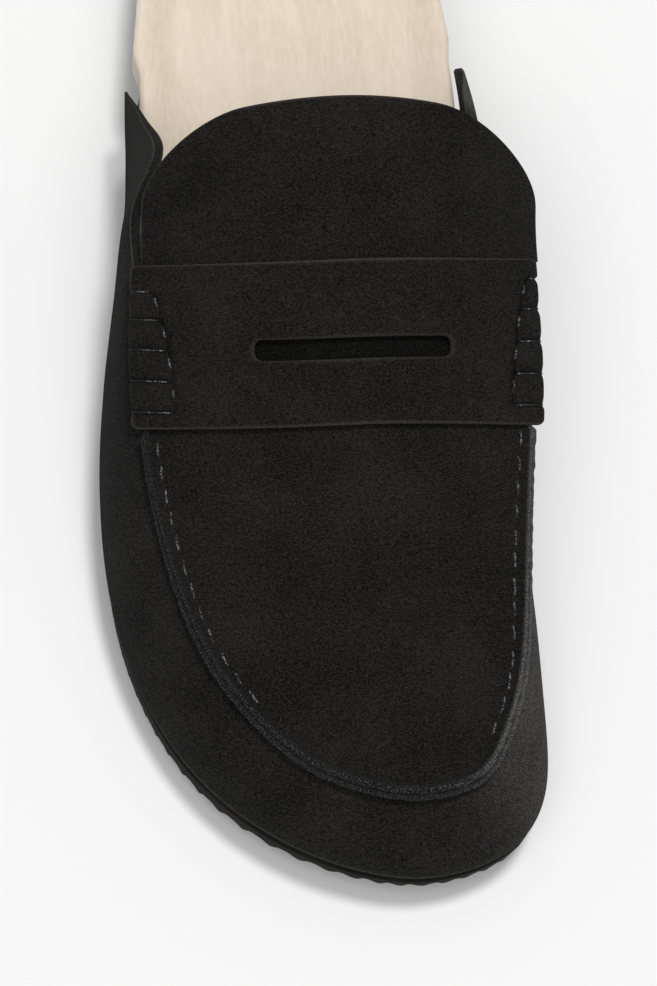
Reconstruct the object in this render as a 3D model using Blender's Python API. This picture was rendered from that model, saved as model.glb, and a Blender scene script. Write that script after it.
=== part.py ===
"""Loafer mule: one right shoe with a hand-sewn moccasin upper, a saddle strap, a moulded footbed
and a notched sole. Metres, +Z up, toe towards -Y, inner (medial) side towards +X."""

import bmesh
import bpy
import numpy as np
from mathutils import Vector

# Main sizes of the shoe
SHOE_LENGTH = 0.286
BALL_WIDTH = 0.104
INSTEP_HEIGHT = 0.078
CLEARANCE = 0.0003

# Outsole
TOE_SPRING = 0.009
SPRING_LENGTH = 0.072
ARCH_RISE = 0.0035
ARCH_FRONT = 0.118
ARCH_BACK = 0.198
SOLE_AT_TOE = 0.0070
SOLE_AT_BALL = 0.0118
SOLE_AT_HEEL = 0.0262
SOLE_REAR_INSET = 0.0036
NOTCH_DEPTH = 0.0022
NOTCH_INSET = 0.0009
LOWER_EDGE_INSET = 0.0022
LEDGE_DROP = 0.0022
LEDGE_FOOT_DROP = 0.0031
LEDGE_DEPTH = 0.0007
BAR_DEPTH = 0.0020
BAR_MARGIN = 0.0040
BAR_RUNGS = 4
RIM_WIDTH_SHARE = 0.16
SOLE_RUNGS = 96

# Footbed
FOOTBED_AT_TOE = 0.0045
FOOTBED_AT_HEEL = 0.0062
RIM_AT_TOE = 0.0004
RIM_AT_HEEL = 0.0042
CUP_START = 0.70
FOOTBED_EDGE_DROP = 0.0012
SIDE_CLEARANCE = 0.0009
REAR_INSET_LATERAL = 0.0008
REAR_INSET_MEDIAL = 0.0019
WIDENING_START = 0.0005
WIDENING_END = 0.0090
FOOTBED_RUNGS = 40

# Upper
WALL = 0.0022
WALL_AT_TIP = 0.0014
SKIRT_BULGE = 0.0036
SEAM_WIDTH = 0.0032
SEAM_HEIGHT = 0.0028
EDGE_WIDTH = 0.0004
EDGE_RISE = 0.00025
UPPER_COLUMNS = 88

# Tongue
TONGUE_THICKNESS = 0.0024
TONGUE_CORNER_LATERAL = 0.0260
TONGUE_CORNER_MEDIAL = 0.0280

# Strap
STRAP_THICKNESS = 0.0020
STRAP_OVERHANG = 0.0033
STRAP_SKEW = 0.0009
SLOT_LENGTH = 0.0458
SLOT_WIDTH = 0.0047
SLOT_OFFSET = 0.0032
SLOT_FORWARD = 0.0013
SLOT_CORNER = 0.0014
ROLL_RISE = 0.0022
ROLL_SETBACK = 0.0006
ROLL_WIDTH = 0.0097
ROLL_COUNT = 4

# The outline of the last in plan: along is a share of SHOE_LENGTH from the toe, lateral and
# medial are shares of BALL_WIDTH from the axis of the last.
OUTLINE = (
    # place, along, lateral, medial
    ("toe tip", 0.000, 0.130, 0.130),
    ("toe front", 0.008, 0.000, 0.260),
    ("toe corner", 0.030, -0.142, 0.360),
    ("toe side", 0.070, -0.291, 0.417),
    ("small toe", 0.130, -0.417, 0.427),
    ("forefoot", 0.215, -0.505, 0.424),
    ("ball", 0.315, -0.534, 0.411),
    ("behind the ball", 0.420, -0.513, 0.398),
    ("waist", 0.500, -0.472, 0.390),
    ("instep", 0.560, -0.446, 0.387),
    ("rear of instep", 0.609, -0.436, 0.386),
    ("wing", 0.654, -0.428, 0.386),
    ("wing tip", 0.710, -0.418, 0.382),
    ("front of heel", 0.797, -0.386, 0.356),
    ("heel", 0.882, -0.350, 0.322),
    ("heel corner", 0.948, -0.272, 0.243),
    ("heel back corner", 0.988, -0.148, 0.120),
    ("heel back", 1.000, -0.014, -0.014),
)

# The instep surface that the plug, the strap and the tongue lie on, row by row with OUTLINE:
# its two sides run along the moccasin seam. Heights are shares of INSTEP_HEIGHT.
INSTEP = (
    # lateral along, lateral across, lateral up, medial along, medial across, medial up,
    # crown along, crown up
    (0.053, 0.130, 0.440, 0.053, 0.130, 0.440, 0.138, 0.519),
    (0.058, 0.034, 0.441, 0.058, 0.215, 0.442, 0.144, 0.527),
    (0.075, -0.084, 0.446, 0.072, 0.274, 0.446, 0.156, 0.541),
    (0.106, -0.190, 0.459, 0.103, 0.321, 0.461, 0.176, 0.563),
    (0.162, -0.305, 0.487, 0.151, 0.363, 0.492, 0.206, 0.598),
    (0.232, -0.380, 0.528, 0.224, 0.387, 0.545, 0.249, 0.650),
    (0.318, -0.426, 0.592, 0.308, 0.409, 0.618, 0.307, 0.725),
    (0.418, -0.442, 0.662, 0.403, 0.434, 0.682, 0.389, 0.838),
    (0.506, -0.432, 0.730, 0.498, 0.438, 0.735, 0.477, 0.962),
    (0.556, -0.424, 0.800, 0.550, 0.447, 0.790, 0.538, 1.054),
    (0.597, -0.420, 0.870, 0.595, 0.452, 0.850, 0.592, 1.132),
)

# The free top edge of the quarters behind the plug, row by row with OUTLINE from the waist on.
TOPLINE = (
    # lateral along, lateral across, lateral up, medial along, medial across, medial up
    (0.506, -0.446, 0.690, 0.500, 0.435, 0.670),
    (0.554, -0.437, 0.735, 0.552, 0.424, 0.692),
    (0.584, -0.388, 0.845, 0.592, 0.376, 0.765),
    (0.632, -0.398, 0.690, 0.640, 0.370, 0.675),
    (0.698, -0.418, 0.480, 0.702, 0.384, 0.485),
)

# How far the skirt bulges past the line from its lower edge to the seam, row by row with OUTLINE,
# in shares of SKIRT_BULGE.
BULGE = (
    # lateral, medial
    (0.78, 0.78),
    (0.78, 0.78),
    (0.78, 0.78),
    (0.78, 0.72),
    (0.81, 0.61),
    (0.94, 0.50),
    (1.00, 0.33),
    (0.92, 0.28),
    (0.72, 0.28),
    (0.53, 0.33),
    (0.44, 0.44),
    (0.36, 0.56),
    (0.22, 0.33),
)

# The strap's two ends, from its front to its rear. Overhangs past the seam are shares of
# STRAP_OVERHANG, roll widths are shares of ROLL_WIDTH, and the rolls' start and end are shares of
# the strap's own width.
STRAP_ENDS = (
    # front overhang, rear overhang, rolls start, rolls end, front roll width, rear roll width
    (0.82, 0.21, 0.094, 0.811, 1.00, 0.50),
    (1.00, 0.73, 0.115, 0.860, 0.79, 0.30),
)

HEEL_ROW = len(OUTLINE) - 1
TIP_ROW = len(BULGE) - 1
EDGE_START_ROW = TIP_ROW + 1 - len(TOPLINE)
PLUG_END_ROW = 7.45
STRAP_FRONT_ROW = 6.45
STRAP_REAR_ROW = 7.88
TONGUE_TOP_ROW = 10.0


def spline(rows, at):
    """Natural cubic spline through equally spaced rows, read at places counted in rows."""
    rows = np.asarray(rows, dtype=float)
    count = len(rows)
    system = np.eye(count)
    right = np.zeros_like(rows)
    for i in range(1, count - 1):
        system[i, i - 1:i + 2] = (1.0, 4.0, 1.0)
        right[i] = 6.0 * (rows[i - 1] - 2.0 * rows[i] + rows[i + 1])
    bend = np.linalg.solve(system, right)
    at = np.asarray(at, dtype=float)
    low = np.clip(np.floor(at).astype(int), 0, count - 2)
    t = at - low
    if rows.ndim > 1:
        t = t[..., None]
    s = 1.0 - t
    straight = s * rows[low] + t * rows[low + 1]
    return straight + ((s ** 3 - s) * bend[low] + (t ** 3 - t) * bend[low + 1]) / 6.0


def profile(along, *knots):
    """Smooth height along the shoe through (share of the length, height) knots."""
    places = np.array([knot[0] for knot in knots]) * SHOE_LENGTH
    heights = np.array([knot[1] for knot in knots])
    fine = np.linspace(0.0, len(knots) - 1.0, 400)
    return np.interp(along, spline(places, fine), spline(heights, fine))


def smooth_step(value, start, end):
    """Rise from 0 at start to 1 at end, with level ends."""
    t = np.clip((value - start) / (end - start), 0.0, 1.0)
    return t * t * (3.0 - 2.0 * t)


def unit(vectors):
    """Vectors scaled to length one."""
    return vectors / np.linalg.norm(vectors, axis=-1, keepdims=True)


def around(lateral, medial):
    """One run of rows from the rear of the lateral side round the toe to the medial side."""
    return np.concatenate([lateral[::-1], medial[1:]])


def outline_loop():
    """Rows of the closed outline, lateral heel round the toe to medial heel, with spare rows."""
    along = np.array([row[1] for row in OUTLINE]) * SHOE_LENGTH
    lateral = np.stack([np.array([row[2] for row in OUTLINE]) * BALL_WIDTH, along], axis=1)
    medial = np.stack([np.array([row[3] for row in OUTLINE]) * BALL_WIDTH, along], axis=1)
    loop = around(lateral, medial)
    return np.concatenate([loop[-4:-1], loop, loop[1:4]])


LOOP = outline_loop()


def outline(place, inset=0.0):
    """Point of the outline: place runs from -HEEL_ROW (lateral) through 0 (toe tip) to
    HEEL_ROW (medial), moved inwards by inset."""
    index = np.asarray(place) + HEEL_ROW + 3.0
    point = spline(LOOP, index)
    step = 0.01
    tangent = unit(spline(LOOP, index + step) - spline(LOOP, index - step))
    outward = np.stack([tangent[..., 1], -tangent[..., 0]], axis=-1)
    return point - outward * np.asarray(inset)[..., None], outward


def even_places(start, end, count):
    """Places on the outline from start to end, equally spaced along it."""
    fine = np.linspace(start, end, 600)
    points, _ = outline(fine)
    steps = np.linalg.norm(np.diff(points, axis=0), axis=1)
    run = np.concatenate([[0.0], np.cumsum(steps)])
    return np.interp(np.linspace(0.0, run[-1], count), run, fine)


def two_sides(count, inset):
    """Points of the lateral and the medial side of the outline, equally spaced from the toe to
    the heel, where both sides end in one point. The inset is a function of the place along and
    of the side, -1 or 1."""
    sides = []
    for side in (-1.0, 1.0):
        places = side * even_places(0.0, HEEL_ROW, count)
        plain, _ = outline(places)
        point, _ = outline(places, inset(plain[:, 1], side))
        sides.append(point)
    lateral, medial = sides
    joined = 0.5 * (lateral[[0, -1]] + medial[[0, -1]])
    lateral[[0, -1]] = joined
    medial[[0, -1]] = joined
    return lateral, medial


def underside(along):
    """Height of the sole's underside: toe spring, flat forefoot, arch and flat heel."""
    spring = TOE_SPRING * np.clip(1.0 - along / SPRING_LENGTH, 0.0, 1.0) ** 1.8
    arch = np.clip((along - ARCH_FRONT) / (ARCH_BACK - ARCH_FRONT), 0.0, 1.0)
    return spring + ARCH_RISE * np.sin(np.pi * arch) ** 2


def sole_top(along):
    """Height of the sole's upper face, where the upper and the footbed stand."""
    toe = TOE_SPRING + SOLE_AT_TOE
    rise = SOLE_AT_HEEL - SOLE_AT_BALL
    return profile(along, (0.0, toe), (0.09, 0.55 * toe + 0.45 * SOLE_AT_BALL),
                   (0.21, SOLE_AT_BALL - 0.02 * rise), (0.33, SOLE_AT_BALL + 0.04 * rise),
                   (0.46, SOLE_AT_BALL + 0.26 * rise), (0.60, SOLE_AT_BALL + 0.66 * rise),
                   (0.72, SOLE_AT_BALL + 0.90 * rise), (0.86, SOLE_AT_HEEL - 0.02 * rise),
                   (1.0, SOLE_AT_HEEL))


def instep_sides():
    """Rows of the instep surface's side line, lateral rear round the toe to medial rear."""
    scale = np.array([BALL_WIDTH, SHOE_LENGTH, INSTEP_HEIGHT])
    lateral = np.array([(row[1], row[0], row[2]) for row in INSTEP]) * scale
    medial = np.array([(row[4], row[3], row[5]) for row in INSTEP]) * scale
    return around(lateral, medial)


SIDES = instep_sides()
SPINE = np.array([(row[6] * SHOE_LENGTH, row[7] * INSTEP_HEIGHT) for row in INSTEP])
SPINE_LOOP = around(SPINE, SPINE)


def instep(row, across):
    """Point of the instep surface: row counts INSTEP rows, across is -1 on the lateral seam,
    0 on the crown and 1 on the medial seam. Both sides fall away from the crown as a parabola."""
    row, across = np.broadcast_arrays(np.asarray(row, float), np.asarray(across, float))
    last = len(INSTEP) - 1
    lateral = spline(SIDES, last - row)
    medial = spline(SIDES, last + row)
    crown = spline(SPINE_LOOP, last + row)
    side = np.where(across[..., None] < 0.0, lateral, medial)
    share = np.abs(across)
    middle = 0.5 * (lateral[..., 0] + medial[..., 0])
    fall = share ** 2
    x = middle + (side[..., 0] - middle) * share
    y = crown[..., 0] + (side[..., 1] - crown[..., 0]) * fall
    z = crown[..., 1] + (side[..., 2] - crown[..., 1]) * fall
    return np.stack([x, y, z], axis=-1)


def instep_lifted(row, across, lift):
    """Point above the instep surface, at the distance lift along its normal."""
    step = 0.02
    along = instep(row + step, across) - instep(row - step, across)
    sideways = instep(row, across + step) - instep(row, across - step)
    normal = unit(np.cross(sideways, along))
    return instep(row, across) + normal * np.asarray(lift)[..., None]


INSTEP_HALF_WIDTH = 0.445 * BALL_WIDTH


def material(name, colour, roughness):
    """Plain Principled material."""
    made = bpy.data.materials.new(name)
    made.use_nodes = True
    shader = made.node_tree.nodes["Principled BSDF"]
    shader.inputs["Base Color"].default_value = (*colour, 1.0)
    shader.inputs["Roughness"].default_value = roughness
    return made


def add_object(name, points, faces, finish):
    """Object from points and faces, with doubled points welded and faces turned outwards."""
    mesh = bpy.data.meshes.new(name)
    mesh.from_pydata([tuple(point) for point in points], [], faces)
    work = bmesh.new()
    work.from_mesh(mesh)
    bmesh.ops.remove_doubles(work, verts=work.verts, dist=0.000001)
    bmesh.ops.dissolve_degenerate(work, edges=work.edges, dist=0.000001)
    bmesh.ops.recalc_face_normals(work, faces=work.faces)
    work.to_mesh(mesh)
    work.free()
    mesh.shade_smooth()
    mesh.set_sharp_from_angle(angle=np.radians(40.0))
    mesh.materials.append(finish)
    made = bpy.data.objects.new(name, mesh)
    bpy.context.scene.collection.objects.link(made)
    return made


def loft(name, sections, finish):
    """Solid through closed sections (section, point, xyz), whose first and last are folded flat."""
    count, size, _ = sections.shape
    faces = []
    for k in range(count - 1):
        for j in range(size):
            j_next = (j + 1) % size
            faces.append((k * size + j, k * size + j_next,
                          (k + 1) * size + j_next, (k + 1) * size + j))
    return add_object(name, sections.reshape(-1, 3), faces, finish)


def shell(name, outer, inner, faces, finish):
    """Solid wall between two skins of the same faces, with rims along every free edge."""
    count = len(outer)
    edges = {}
    for face in faces:
        for a, b in zip(face, face[1:] + face[:1]):
            edges[(a, b)] = edges.get((a, b), 0) + 1
    solid = list(faces)
    solid += [tuple(count + i for i in face[::-1]) for face in faces]
    solid += [(b, a, count + a, count + b) for a, b in edges if (b, a) not in edges]
    return add_object(name, np.concatenate([outer, inner]), solid, finish)


def grid_faces(rows, columns, keep=None):
    """Faces of a grid of points, of the cells for which keep(row, column) is true."""
    faces = []
    for i in range(rows - 1):
        for j in range(columns - 1):
            if keep is None or keep(i, j):
                a = i * columns + j
                faces.append((a, a + 1, a + columns + 1, a + columns))
    return faces


def outsole(finish):
    """Moulded sole: side with a ledge and a notched lower edge, cross bars underneath."""
    count = SOLE_RUNGS + 1
    rungs = np.arange(count)
    notch = (rungs % 2).astype(float)
    notch[[0, -1]] = 0.0

    def inset(along, extra):
        rear = smooth_step(along, 0.64 * SHOE_LENGTH, 0.74 * SHOE_LENGTH)
        return SOLE_REAR_INSET * rear + extra

    rings = []
    for drop, extra in ((0.0, LEDGE_DEPTH), (LEDGE_DROP, LEDGE_DEPTH), (LEDGE_FOOT_DROP, 0.0)):
        pair = two_sides(count, lambda along, side: inset(along, extra))
        rings.append([np.column_stack([point, sole_top(point[:, 1]) - drop]) for point in pair])
    for rise, extra in ((NOTCH_DEPTH * 1.3, 0.0),
                        (NOTCH_DEPTH * notch, NOTCH_INSET * (0.4 + notch)),
                        (0.0, LOWER_EDGE_INSET)):
        pair = two_sides(count, lambda along, side: inset(along, extra))
        rings.append([np.column_stack([point, underside(point[:, 1]) + rise]) for point in pair])
    lateral = [ring[0] for ring in rings]
    medial = [ring[1] for ring in rings]
    middle_top = 0.5 * (lateral[0] + medial[0])
    groove = np.where(rungs % BAR_RUNGS < 0.5 * BAR_RUNGS, BAR_DEPTH, 0.0)
    along = 0.5 * (lateral[0][:, 1] + medial[0][:, 1])
    treaded = (along > 0.08 * SHOE_LENGTH) & (along < 0.95 * SHOE_LENGTH)
    treaded &= (along < ARCH_FRONT + BAR_MARGIN) | (along > ARCH_BACK - BAR_MARGIN)
    groove = np.where(treaded, groove, 0.0)
    bottom = []
    for share in (1.0 - RIM_WIDTH_SHARE, 0.06, -0.06, RIM_WIDTH_SHARE - 1.0):
        mix = 0.5 + 0.5 * share
        point = lateral[-1] * (1.0 - mix) + medial[-1] * mix
        level = underside(point[:, 1])
        depth = groove if abs(share) > 0.5 else np.where(treaded, BAR_DEPTH, 0.0)
        bottom.append(np.column_stack([point[:, :2], level + depth]))
    loop = [middle_top] + medial + bottom + lateral[::-1]
    return loft("outsole", np.stack(loop, axis=1), finish)


def footbed(finish):
    """Moulded footbed: flat middle, rim that rises towards the heel, full thickness at its side."""
    count = FOOTBED_RUNGS + 1

    def inset(along, side):
        """Inside the upper's wall in front of the wing tips, and wider behind them."""
        rear_inset = REAR_INSET_LATERAL if side < 0.0 else REAR_INSET_MEDIAL
        tip = OUTLINE[TIP_ROW][1] * SHOE_LENGTH
        behind = smooth_step(along, tip + WIDENING_START, tip + WIDENING_END)
        return (WALL + SIDE_CLEARANCE) * (1.0 - behind) + rear_inset * behind

    lateral, medial = two_sides(count, inset)
    shares = np.array([-1.0, -0.96, -0.86, -0.74, -0.5, 0.0, 0.5, 0.74, 0.86, 0.96, 1.0])
    top = []
    for share in shares:
        mix = 0.5 + 0.5 * share
        point = lateral * (1.0 - mix) + medial * mix
        along = point[:, 1]
        heel = smooth_step(along, 0.30 * SHOE_LENGTH, 0.80 * SHOE_LENGTH)
        thick = FOOTBED_AT_TOE + (FOOTBED_AT_HEEL - FOOTBED_AT_TOE) * heel
        rim = RIM_AT_TOE * smooth_step(along, 0.03 * SHOE_LENGTH, 0.10 * SHOE_LENGTH)
        rim = rim + (RIM_AT_HEEL - RIM_AT_TOE) * heel
        raised = smooth_step(abs(share), CUP_START, 0.98)
        back = smooth_step(along, 0.90 * SHOE_LENGTH, 0.995 * SHOE_LENGTH)
        cup = np.maximum(raised, back)
        edge = FOOTBED_EDGE_DROP if abs(share) == 1.0 else 0.0
        level = sole_top(along) + CLEARANCE + thick + rim * cup - edge
        top.append(np.column_stack([point, level]))
    bottom = []
    for side in (medial, lateral):
        level = sole_top(side[:, 1]) + CLEARANCE
        bottom.append(np.column_stack([side, level]))
    bottom.insert(1, 0.5 * (bottom[0] + bottom[1]))
    return loft("footbed", np.stack(top + bottom, axis=1), finish)


def top_line(places):
    """The skirt's upper edge: the moccasin seam, then the free top edge of the quarters."""
    scale = np.array([BALL_WIDTH, SHOE_LENGTH, INSTEP_HEIGHT])
    seam = INSTEP[:EDGE_START_ROW]
    lateral = np.array([(row[1], row[0], row[2]) for row in seam]
                       + [(row[1], row[0], row[2]) for row in TOPLINE]) * scale
    medial = np.array([(row[4], row[3], row[5]) for row in seam]
                      + [(row[4], row[3], row[5]) for row in TOPLINE]) * scale
    return spline(around(lateral, medial), places + TIP_ROW)


def skirt_surface(places, heights):
    """Skirt of the upper as a grid (height, place): a cubic arc in each column from the sole to
    the top line, bulged outwards, and the outward direction of each column."""
    foot_plan, outward_plan = outline(places)
    foot = np.column_stack([foot_plan, sole_top(foot_plan[:, 1]) + CLEARANCE])
    outward = np.column_stack([outward_plan, np.zeros(len(places))])
    head = top_line(places)
    sides = np.array(BULGE) * SKIRT_BULGE
    bulge = spline(around(sides[:, 0], sides[:, 1]), places + TIP_ROW)[:, None]
    rise = (head[:, 2] - foot[:, 2])[:, None] * np.array([0.0, 0.0, 1.0])
    low_handle = foot + 0.42 * rise + 1.3 * bulge * outward
    high_handle = head - 0.20 * rise + 1.3 * bulge * outward
    high_handle[:, :2] += 0.22 * (foot - head)[:, :2]
    t = np.asarray(heights)[:, None, None]
    s = 1.0 - t
    grid = s ** 3 * foot + 3.0 * s * s * t * low_handle + 3.0 * s * t * t * high_handle + t ** 3 * head
    return grid, outward


def grid_normals(grid):
    """Normals of a grid of points. Where two columns meet in one point, the normal is upright."""
    normal = np.cross(np.gradient(grid, axis=1), np.gradient(grid, axis=0))
    return unit(normal + np.array([0.0, 0.0, 1e-12]))


def upper(finish):
    """One hollow wall: skirt from wing tip to wing tip, raised seam as a step in it, and plug."""
    count = UPPER_COLUMNS + 1
    places = even_places(-TIP_ROW, TIP_ROW, count)
    heights = (0.0, 0.16, 0.34, 0.54, 0.76, 1.0)
    skirt, outward = skirt_surface(places, heights)
    skirt_normal = grid_normals(skirt)
    row = np.abs(places)
    free = row > PLUG_END_ROW

    # The seam stands up in front of the strap and lies flat under it
    stand = 1.0 - smooth_step(row, STRAP_FRONT_ROW - 0.30, STRAP_FRONT_ROW - 0.11)
    half = (0.5 * (EDGE_WIDTH + (SEAM_WIDTH - EDGE_WIDTH) * stand))[:, None] * outward
    lean = unit(0.45 * outward + np.array([0.0, 0.0, 1.0]))
    rise = (EDGE_RISE + (SEAM_HEIGHT - EDGE_RISE) * stand)[:, None] * lean
    head = skirt[-1]
    seam_rings = [head + half + 0.9 * rise, head + 0.55 * half + rise * 1.05,
                  head - 0.75 * half + rise * 0.95, head - half + 0.05 * rise]

    # Plug rings run from the seam to the crown of the instep
    shares = (0.16, 0.38, 0.62, 0.82, 1.0)
    side = np.where(places < 0.0, -1.0, 1.0)
    plug_row = np.minimum(row, PLUG_END_ROW)
    plug_rings = [instep(plug_row, side * (1.0 - share)) for share in shares]
    plug_base = np.stack([instep(plug_row, side)] + plug_rings)
    plug_normal = grid_normals(plug_base)
    plug_normal *= np.sign(plug_normal[..., 2:3])

    outer_rings = list(skirt[:-1]) + [head + 0.35 * half] + seam_rings + plug_rings
    skived = smooth_step(row, TIP_ROW - 1.6, TIP_ROW)
    wall = (WALL + (WALL_AT_TIP - WALL) * skived)[:, None]
    inner_skirt = skirt - skirt_normal * wall
    inner_skirt[0] = skirt[0] - outward * wall
    inner_skirt[-1, :, 2] = np.minimum(inner_skirt[-1, :, 2], head[:, 2] - 0.3 * WALL)
    seam_inner_end = plug_base[0] - half - plug_normal[0] * WALL
    edge_end = head - outward * wall
    seam_inner_end = np.where(free[:, None], edge_end, seam_inner_end)
    seam_inner = [inner_skirt[-1] + (seam_inner_end - inner_skirt[-1]) * part
                  for part in (0.25, 0.5, 0.75, 1.0)]
    plug_inner = [plug_base[k + 1] - plug_normal[k + 1] * WALL for k in range(len(shares))]
    inner_rings = list(inner_skirt) + seam_inner + plug_inner

    outer = np.stack(outer_rings)
    inner = np.stack(inner_rings)
    ring_count = len(outer_rings)
    plug_start = ring_count - len(shares) - 1

    # The two sides of the plug meet on the crown, so they share its points. The cells beside it
    # are cut so that none of them folds over at its front end.
    point_id = np.arange(ring_count * count).reshape(ring_count, count)
    mirror = point_id[-1, ::-1].copy()
    half_way = count // 2
    for skin in (outer, inner):
        skin[-1] = 0.5 * (skin[-1] + skin[-1, ::-1])
    point_id[-1, half_way + 1:] = mirror[half_way + 1:]
    faces = []
    for i in range(ring_count - 1):
        for j in range(count - 1):
            if i >= plug_start and (free[j] or free[j + 1]):
                continue
            here, above = point_id[i], point_id[i + 1]
            if i < ring_count - 2:
                cells = [(here[j], above[j], above[j + 1], here[j + 1])]
            elif j < half_way:
                cells = [(here[j], above[j], above[j + 1]), (here[j], above[j + 1], here[j + 1])]
            else:
                cells = [(here[j], above[j], here[j + 1]), (above[j], above[j + 1], here[j + 1])]
            faces += [tuple(int(p) for p in cell) for cell in cells]
    used = sorted({p for face in faces for p in face})
    new_id = {old: new for new, old in enumerate(used)}
    faces = [tuple(new_id[p] for p in face) for face in faces]
    outer = outer.reshape(-1, 3)[used]
    inner = inner.reshape(-1, 3)[used]
    return shell("upper", outer, inner, faces, finish)


def tongue(finish):
    """Rounded tab behind the plug, from under the strap to the throat."""
    front = instep(PLUG_END_ROW, 0.0)
    top = instep(TONGUE_TOP_ROW, 0.0)
    length = np.linalg.norm(top - front)
    start = PLUG_END_ROW + (TONGUE_TOP_ROW - PLUG_END_ROW) * 1.5 * CLEARANCE / length
    rounded = min(max(TONGUE_CORNER_LATERAL, TONGUE_CORNER_MEDIAL) / length, 0.9)
    steps = np.concatenate([np.linspace(0.0, 1.0 - rounded, 7)[:-1],
                            1.0 - rounded * (1.0 - np.sin(np.linspace(0.0, 0.5 * np.pi, 9)))])
    rows = start + (TONGUE_TOP_ROW - start) * steps
    to_top = (1.0 - steps) * length
    widen = smooth_step(rows, STRAP_REAR_ROW - 0.18, STRAP_REAR_ROW - 0.02)
    across = np.linspace(-1.0, 1.0, 17)

    def rounding(radius):
        """How far a corner of that radius draws the edge in, as a share across."""
        deep = np.clip(radius - to_top, 0.0, radius)
        return (radius - np.sqrt(radius ** 2 - deep ** 2)) / INSTEP_HALF_WIDTH

    lateral_edge = -0.965 - 0.030 * widen + rounding(TONGUE_CORNER_LATERAL)
    medial_edge = 0.95 + 0.170 * widen - rounding(TONGUE_CORNER_MEDIAL)
    shares = across[None, :] * 0.5 + 0.5
    v = lateral_edge[:, None] * (1.0 - shares) + medial_edge[:, None] * shares
    r = np.broadcast_to(rows[:, None], v.shape)
    outer = instep_lifted(r, v, np.zeros(v.shape))
    inner = instep_lifted(r, v, np.full(v.shape, -TONGUE_THICKNESS))
    faces = grid_faces(len(rows), len(across))
    return shell("tongue", outer.reshape(-1, 3), inner.reshape(-1, 3), faces, finish)


STRAP_LIFT = EDGE_RISE + 2.0 * CLEARANCE


def strap_end(level, end):
    """How far across the instep an end of the strap reaches, from its front (0) to its rear (1)."""
    front, rear = end[0], end[1]
    return 1.0 + STRAP_OVERHANG * (front + (rear - front) * level) / INSTEP_HALF_WIDTH


def strap_row(level, across):
    """Row of the instep under a level of the strap, whose medial end lies STRAP_SKEW further
    forward than its middle."""
    rows = STRAP_REAR_ROW - STRAP_FRONT_ROW
    run = np.linalg.norm(instep(STRAP_REAR_ROW, 1.0) - instep(STRAP_FRONT_ROW, 1.0))
    askew = STRAP_SKEW / run * smooth_step(across, 0.0, 1.0)
    return STRAP_FRONT_ROW + rows * (level - askew)


def strap(finish):
    """Saddle strap laid over the plug and the seam, with a long slot."""
    half = INSTEP_HALF_WIDTH
    slot_half = 0.5 * SLOT_LENGTH / half
    slot_middle = SLOT_OFFSET / half
    front = instep(STRAP_FRONT_ROW, 0.0)
    rear = instep(STRAP_REAR_ROW, 0.0)
    width = np.linalg.norm(rear - front)
    slot_share = 0.5 * SLOT_WIDTH / width
    slot_level = 0.5 - SLOT_FORWARD / width
    corner = SLOT_CORNER / half
    slot_start = slot_middle - slot_half
    slot_end = slot_middle + slot_half
    toward = np.linspace(0.0, 1.0, 9) ** 1.8
    inside = np.concatenate([[slot_start + corner],
                             np.linspace(slot_start + 2.2 * corner, slot_end - 2.2 * corner, 9),
                             [slot_end - corner]])
    levels = np.array([0.0, 0.33 * slot_level, 0.67 * slot_level, slot_level - slot_share,
                       slot_level, slot_level + slot_share,
                       slot_level + 0.36 * (1.0 - slot_level), slot_level + 0.68 * (1.0 - slot_level),
                       1.0])
    slot_first = len(toward) - 1
    slot_last = slot_first + len(inside)
    v = []
    for level in levels:
        lateral, medial = (strap_end(level, end) for end in STRAP_ENDS)
        v.append(np.concatenate([-lateral + (slot_start + lateral) * toward, inside,
                                 medial - (medial - slot_end) * toward[::-1]]))
    v = np.stack(v)
    level = np.broadcast_to(levels[:, None], v.shape).copy()
    for column in (slot_first, slot_last + 1):
        level[3, column] = slot_level - 0.5 * slot_share
        level[5, column] = slot_level + 0.5 * slot_share
    rows = strap_row(level, v)
    inner = instep_lifted(rows, v, np.full(rows.shape, STRAP_LIFT))
    outer = instep_lifted(rows, v, np.full(rows.shape, STRAP_LIFT + STRAP_THICKNESS))

    def keep(i, j):
        return not (i in (3, 4) and slot_first <= j <= slot_last)

    faces = grid_faces(*v.shape, keep)
    return shell("strap", outer.reshape(-1, 3), inner.reshape(-1, 3), faces, finish)


def strap_roll(name, side, end, finish):
    """Whipped end of the strap: rolls side by side along its end, pinched between."""
    per_roll = 6
    steps = np.linspace(0.0, 1.0, ROLL_COUNT * per_roll + 1)
    _, _, rolls_start, rolls_end, front_width, rear_width = end
    levels = rolls_start + (rolls_end - rolls_start) * steps
    swell = 0.35 + 0.65 * np.abs(np.sin(np.pi * ROLL_COUNT * steps)) ** 0.6
    sideways = np.linspace(0.0, 1.0, 7)
    arch = np.sin(np.pi * np.clip(0.04 + 0.92 * sideways, 0.0, 1.0)) ** 0.7
    width = ROLL_WIDTH * (front_width + (rear_width - front_width) * steps ** 2)
    inwards = (ROLL_SETBACK + width[:, None] * (1.0 - sideways[None, :])) / INSTEP_HALF_WIDTH
    v = side * (strap_end(levels, end)[:, None] - inwards)
    r = strap_row(levels[:, None], v)
    base = STRAP_LIFT + STRAP_THICKNESS + CLEARANCE
    inner = instep_lifted(r, v, np.full(v.shape, base))
    outer = instep_lifted(r, v, base + ROLL_RISE * swell[:, None] * arch[None, :])
    faces = grid_faces(*v.shape)
    return shell(name, outer.reshape(-1, 3), inner.reshape(-1, 3), faces, finish)


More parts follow.
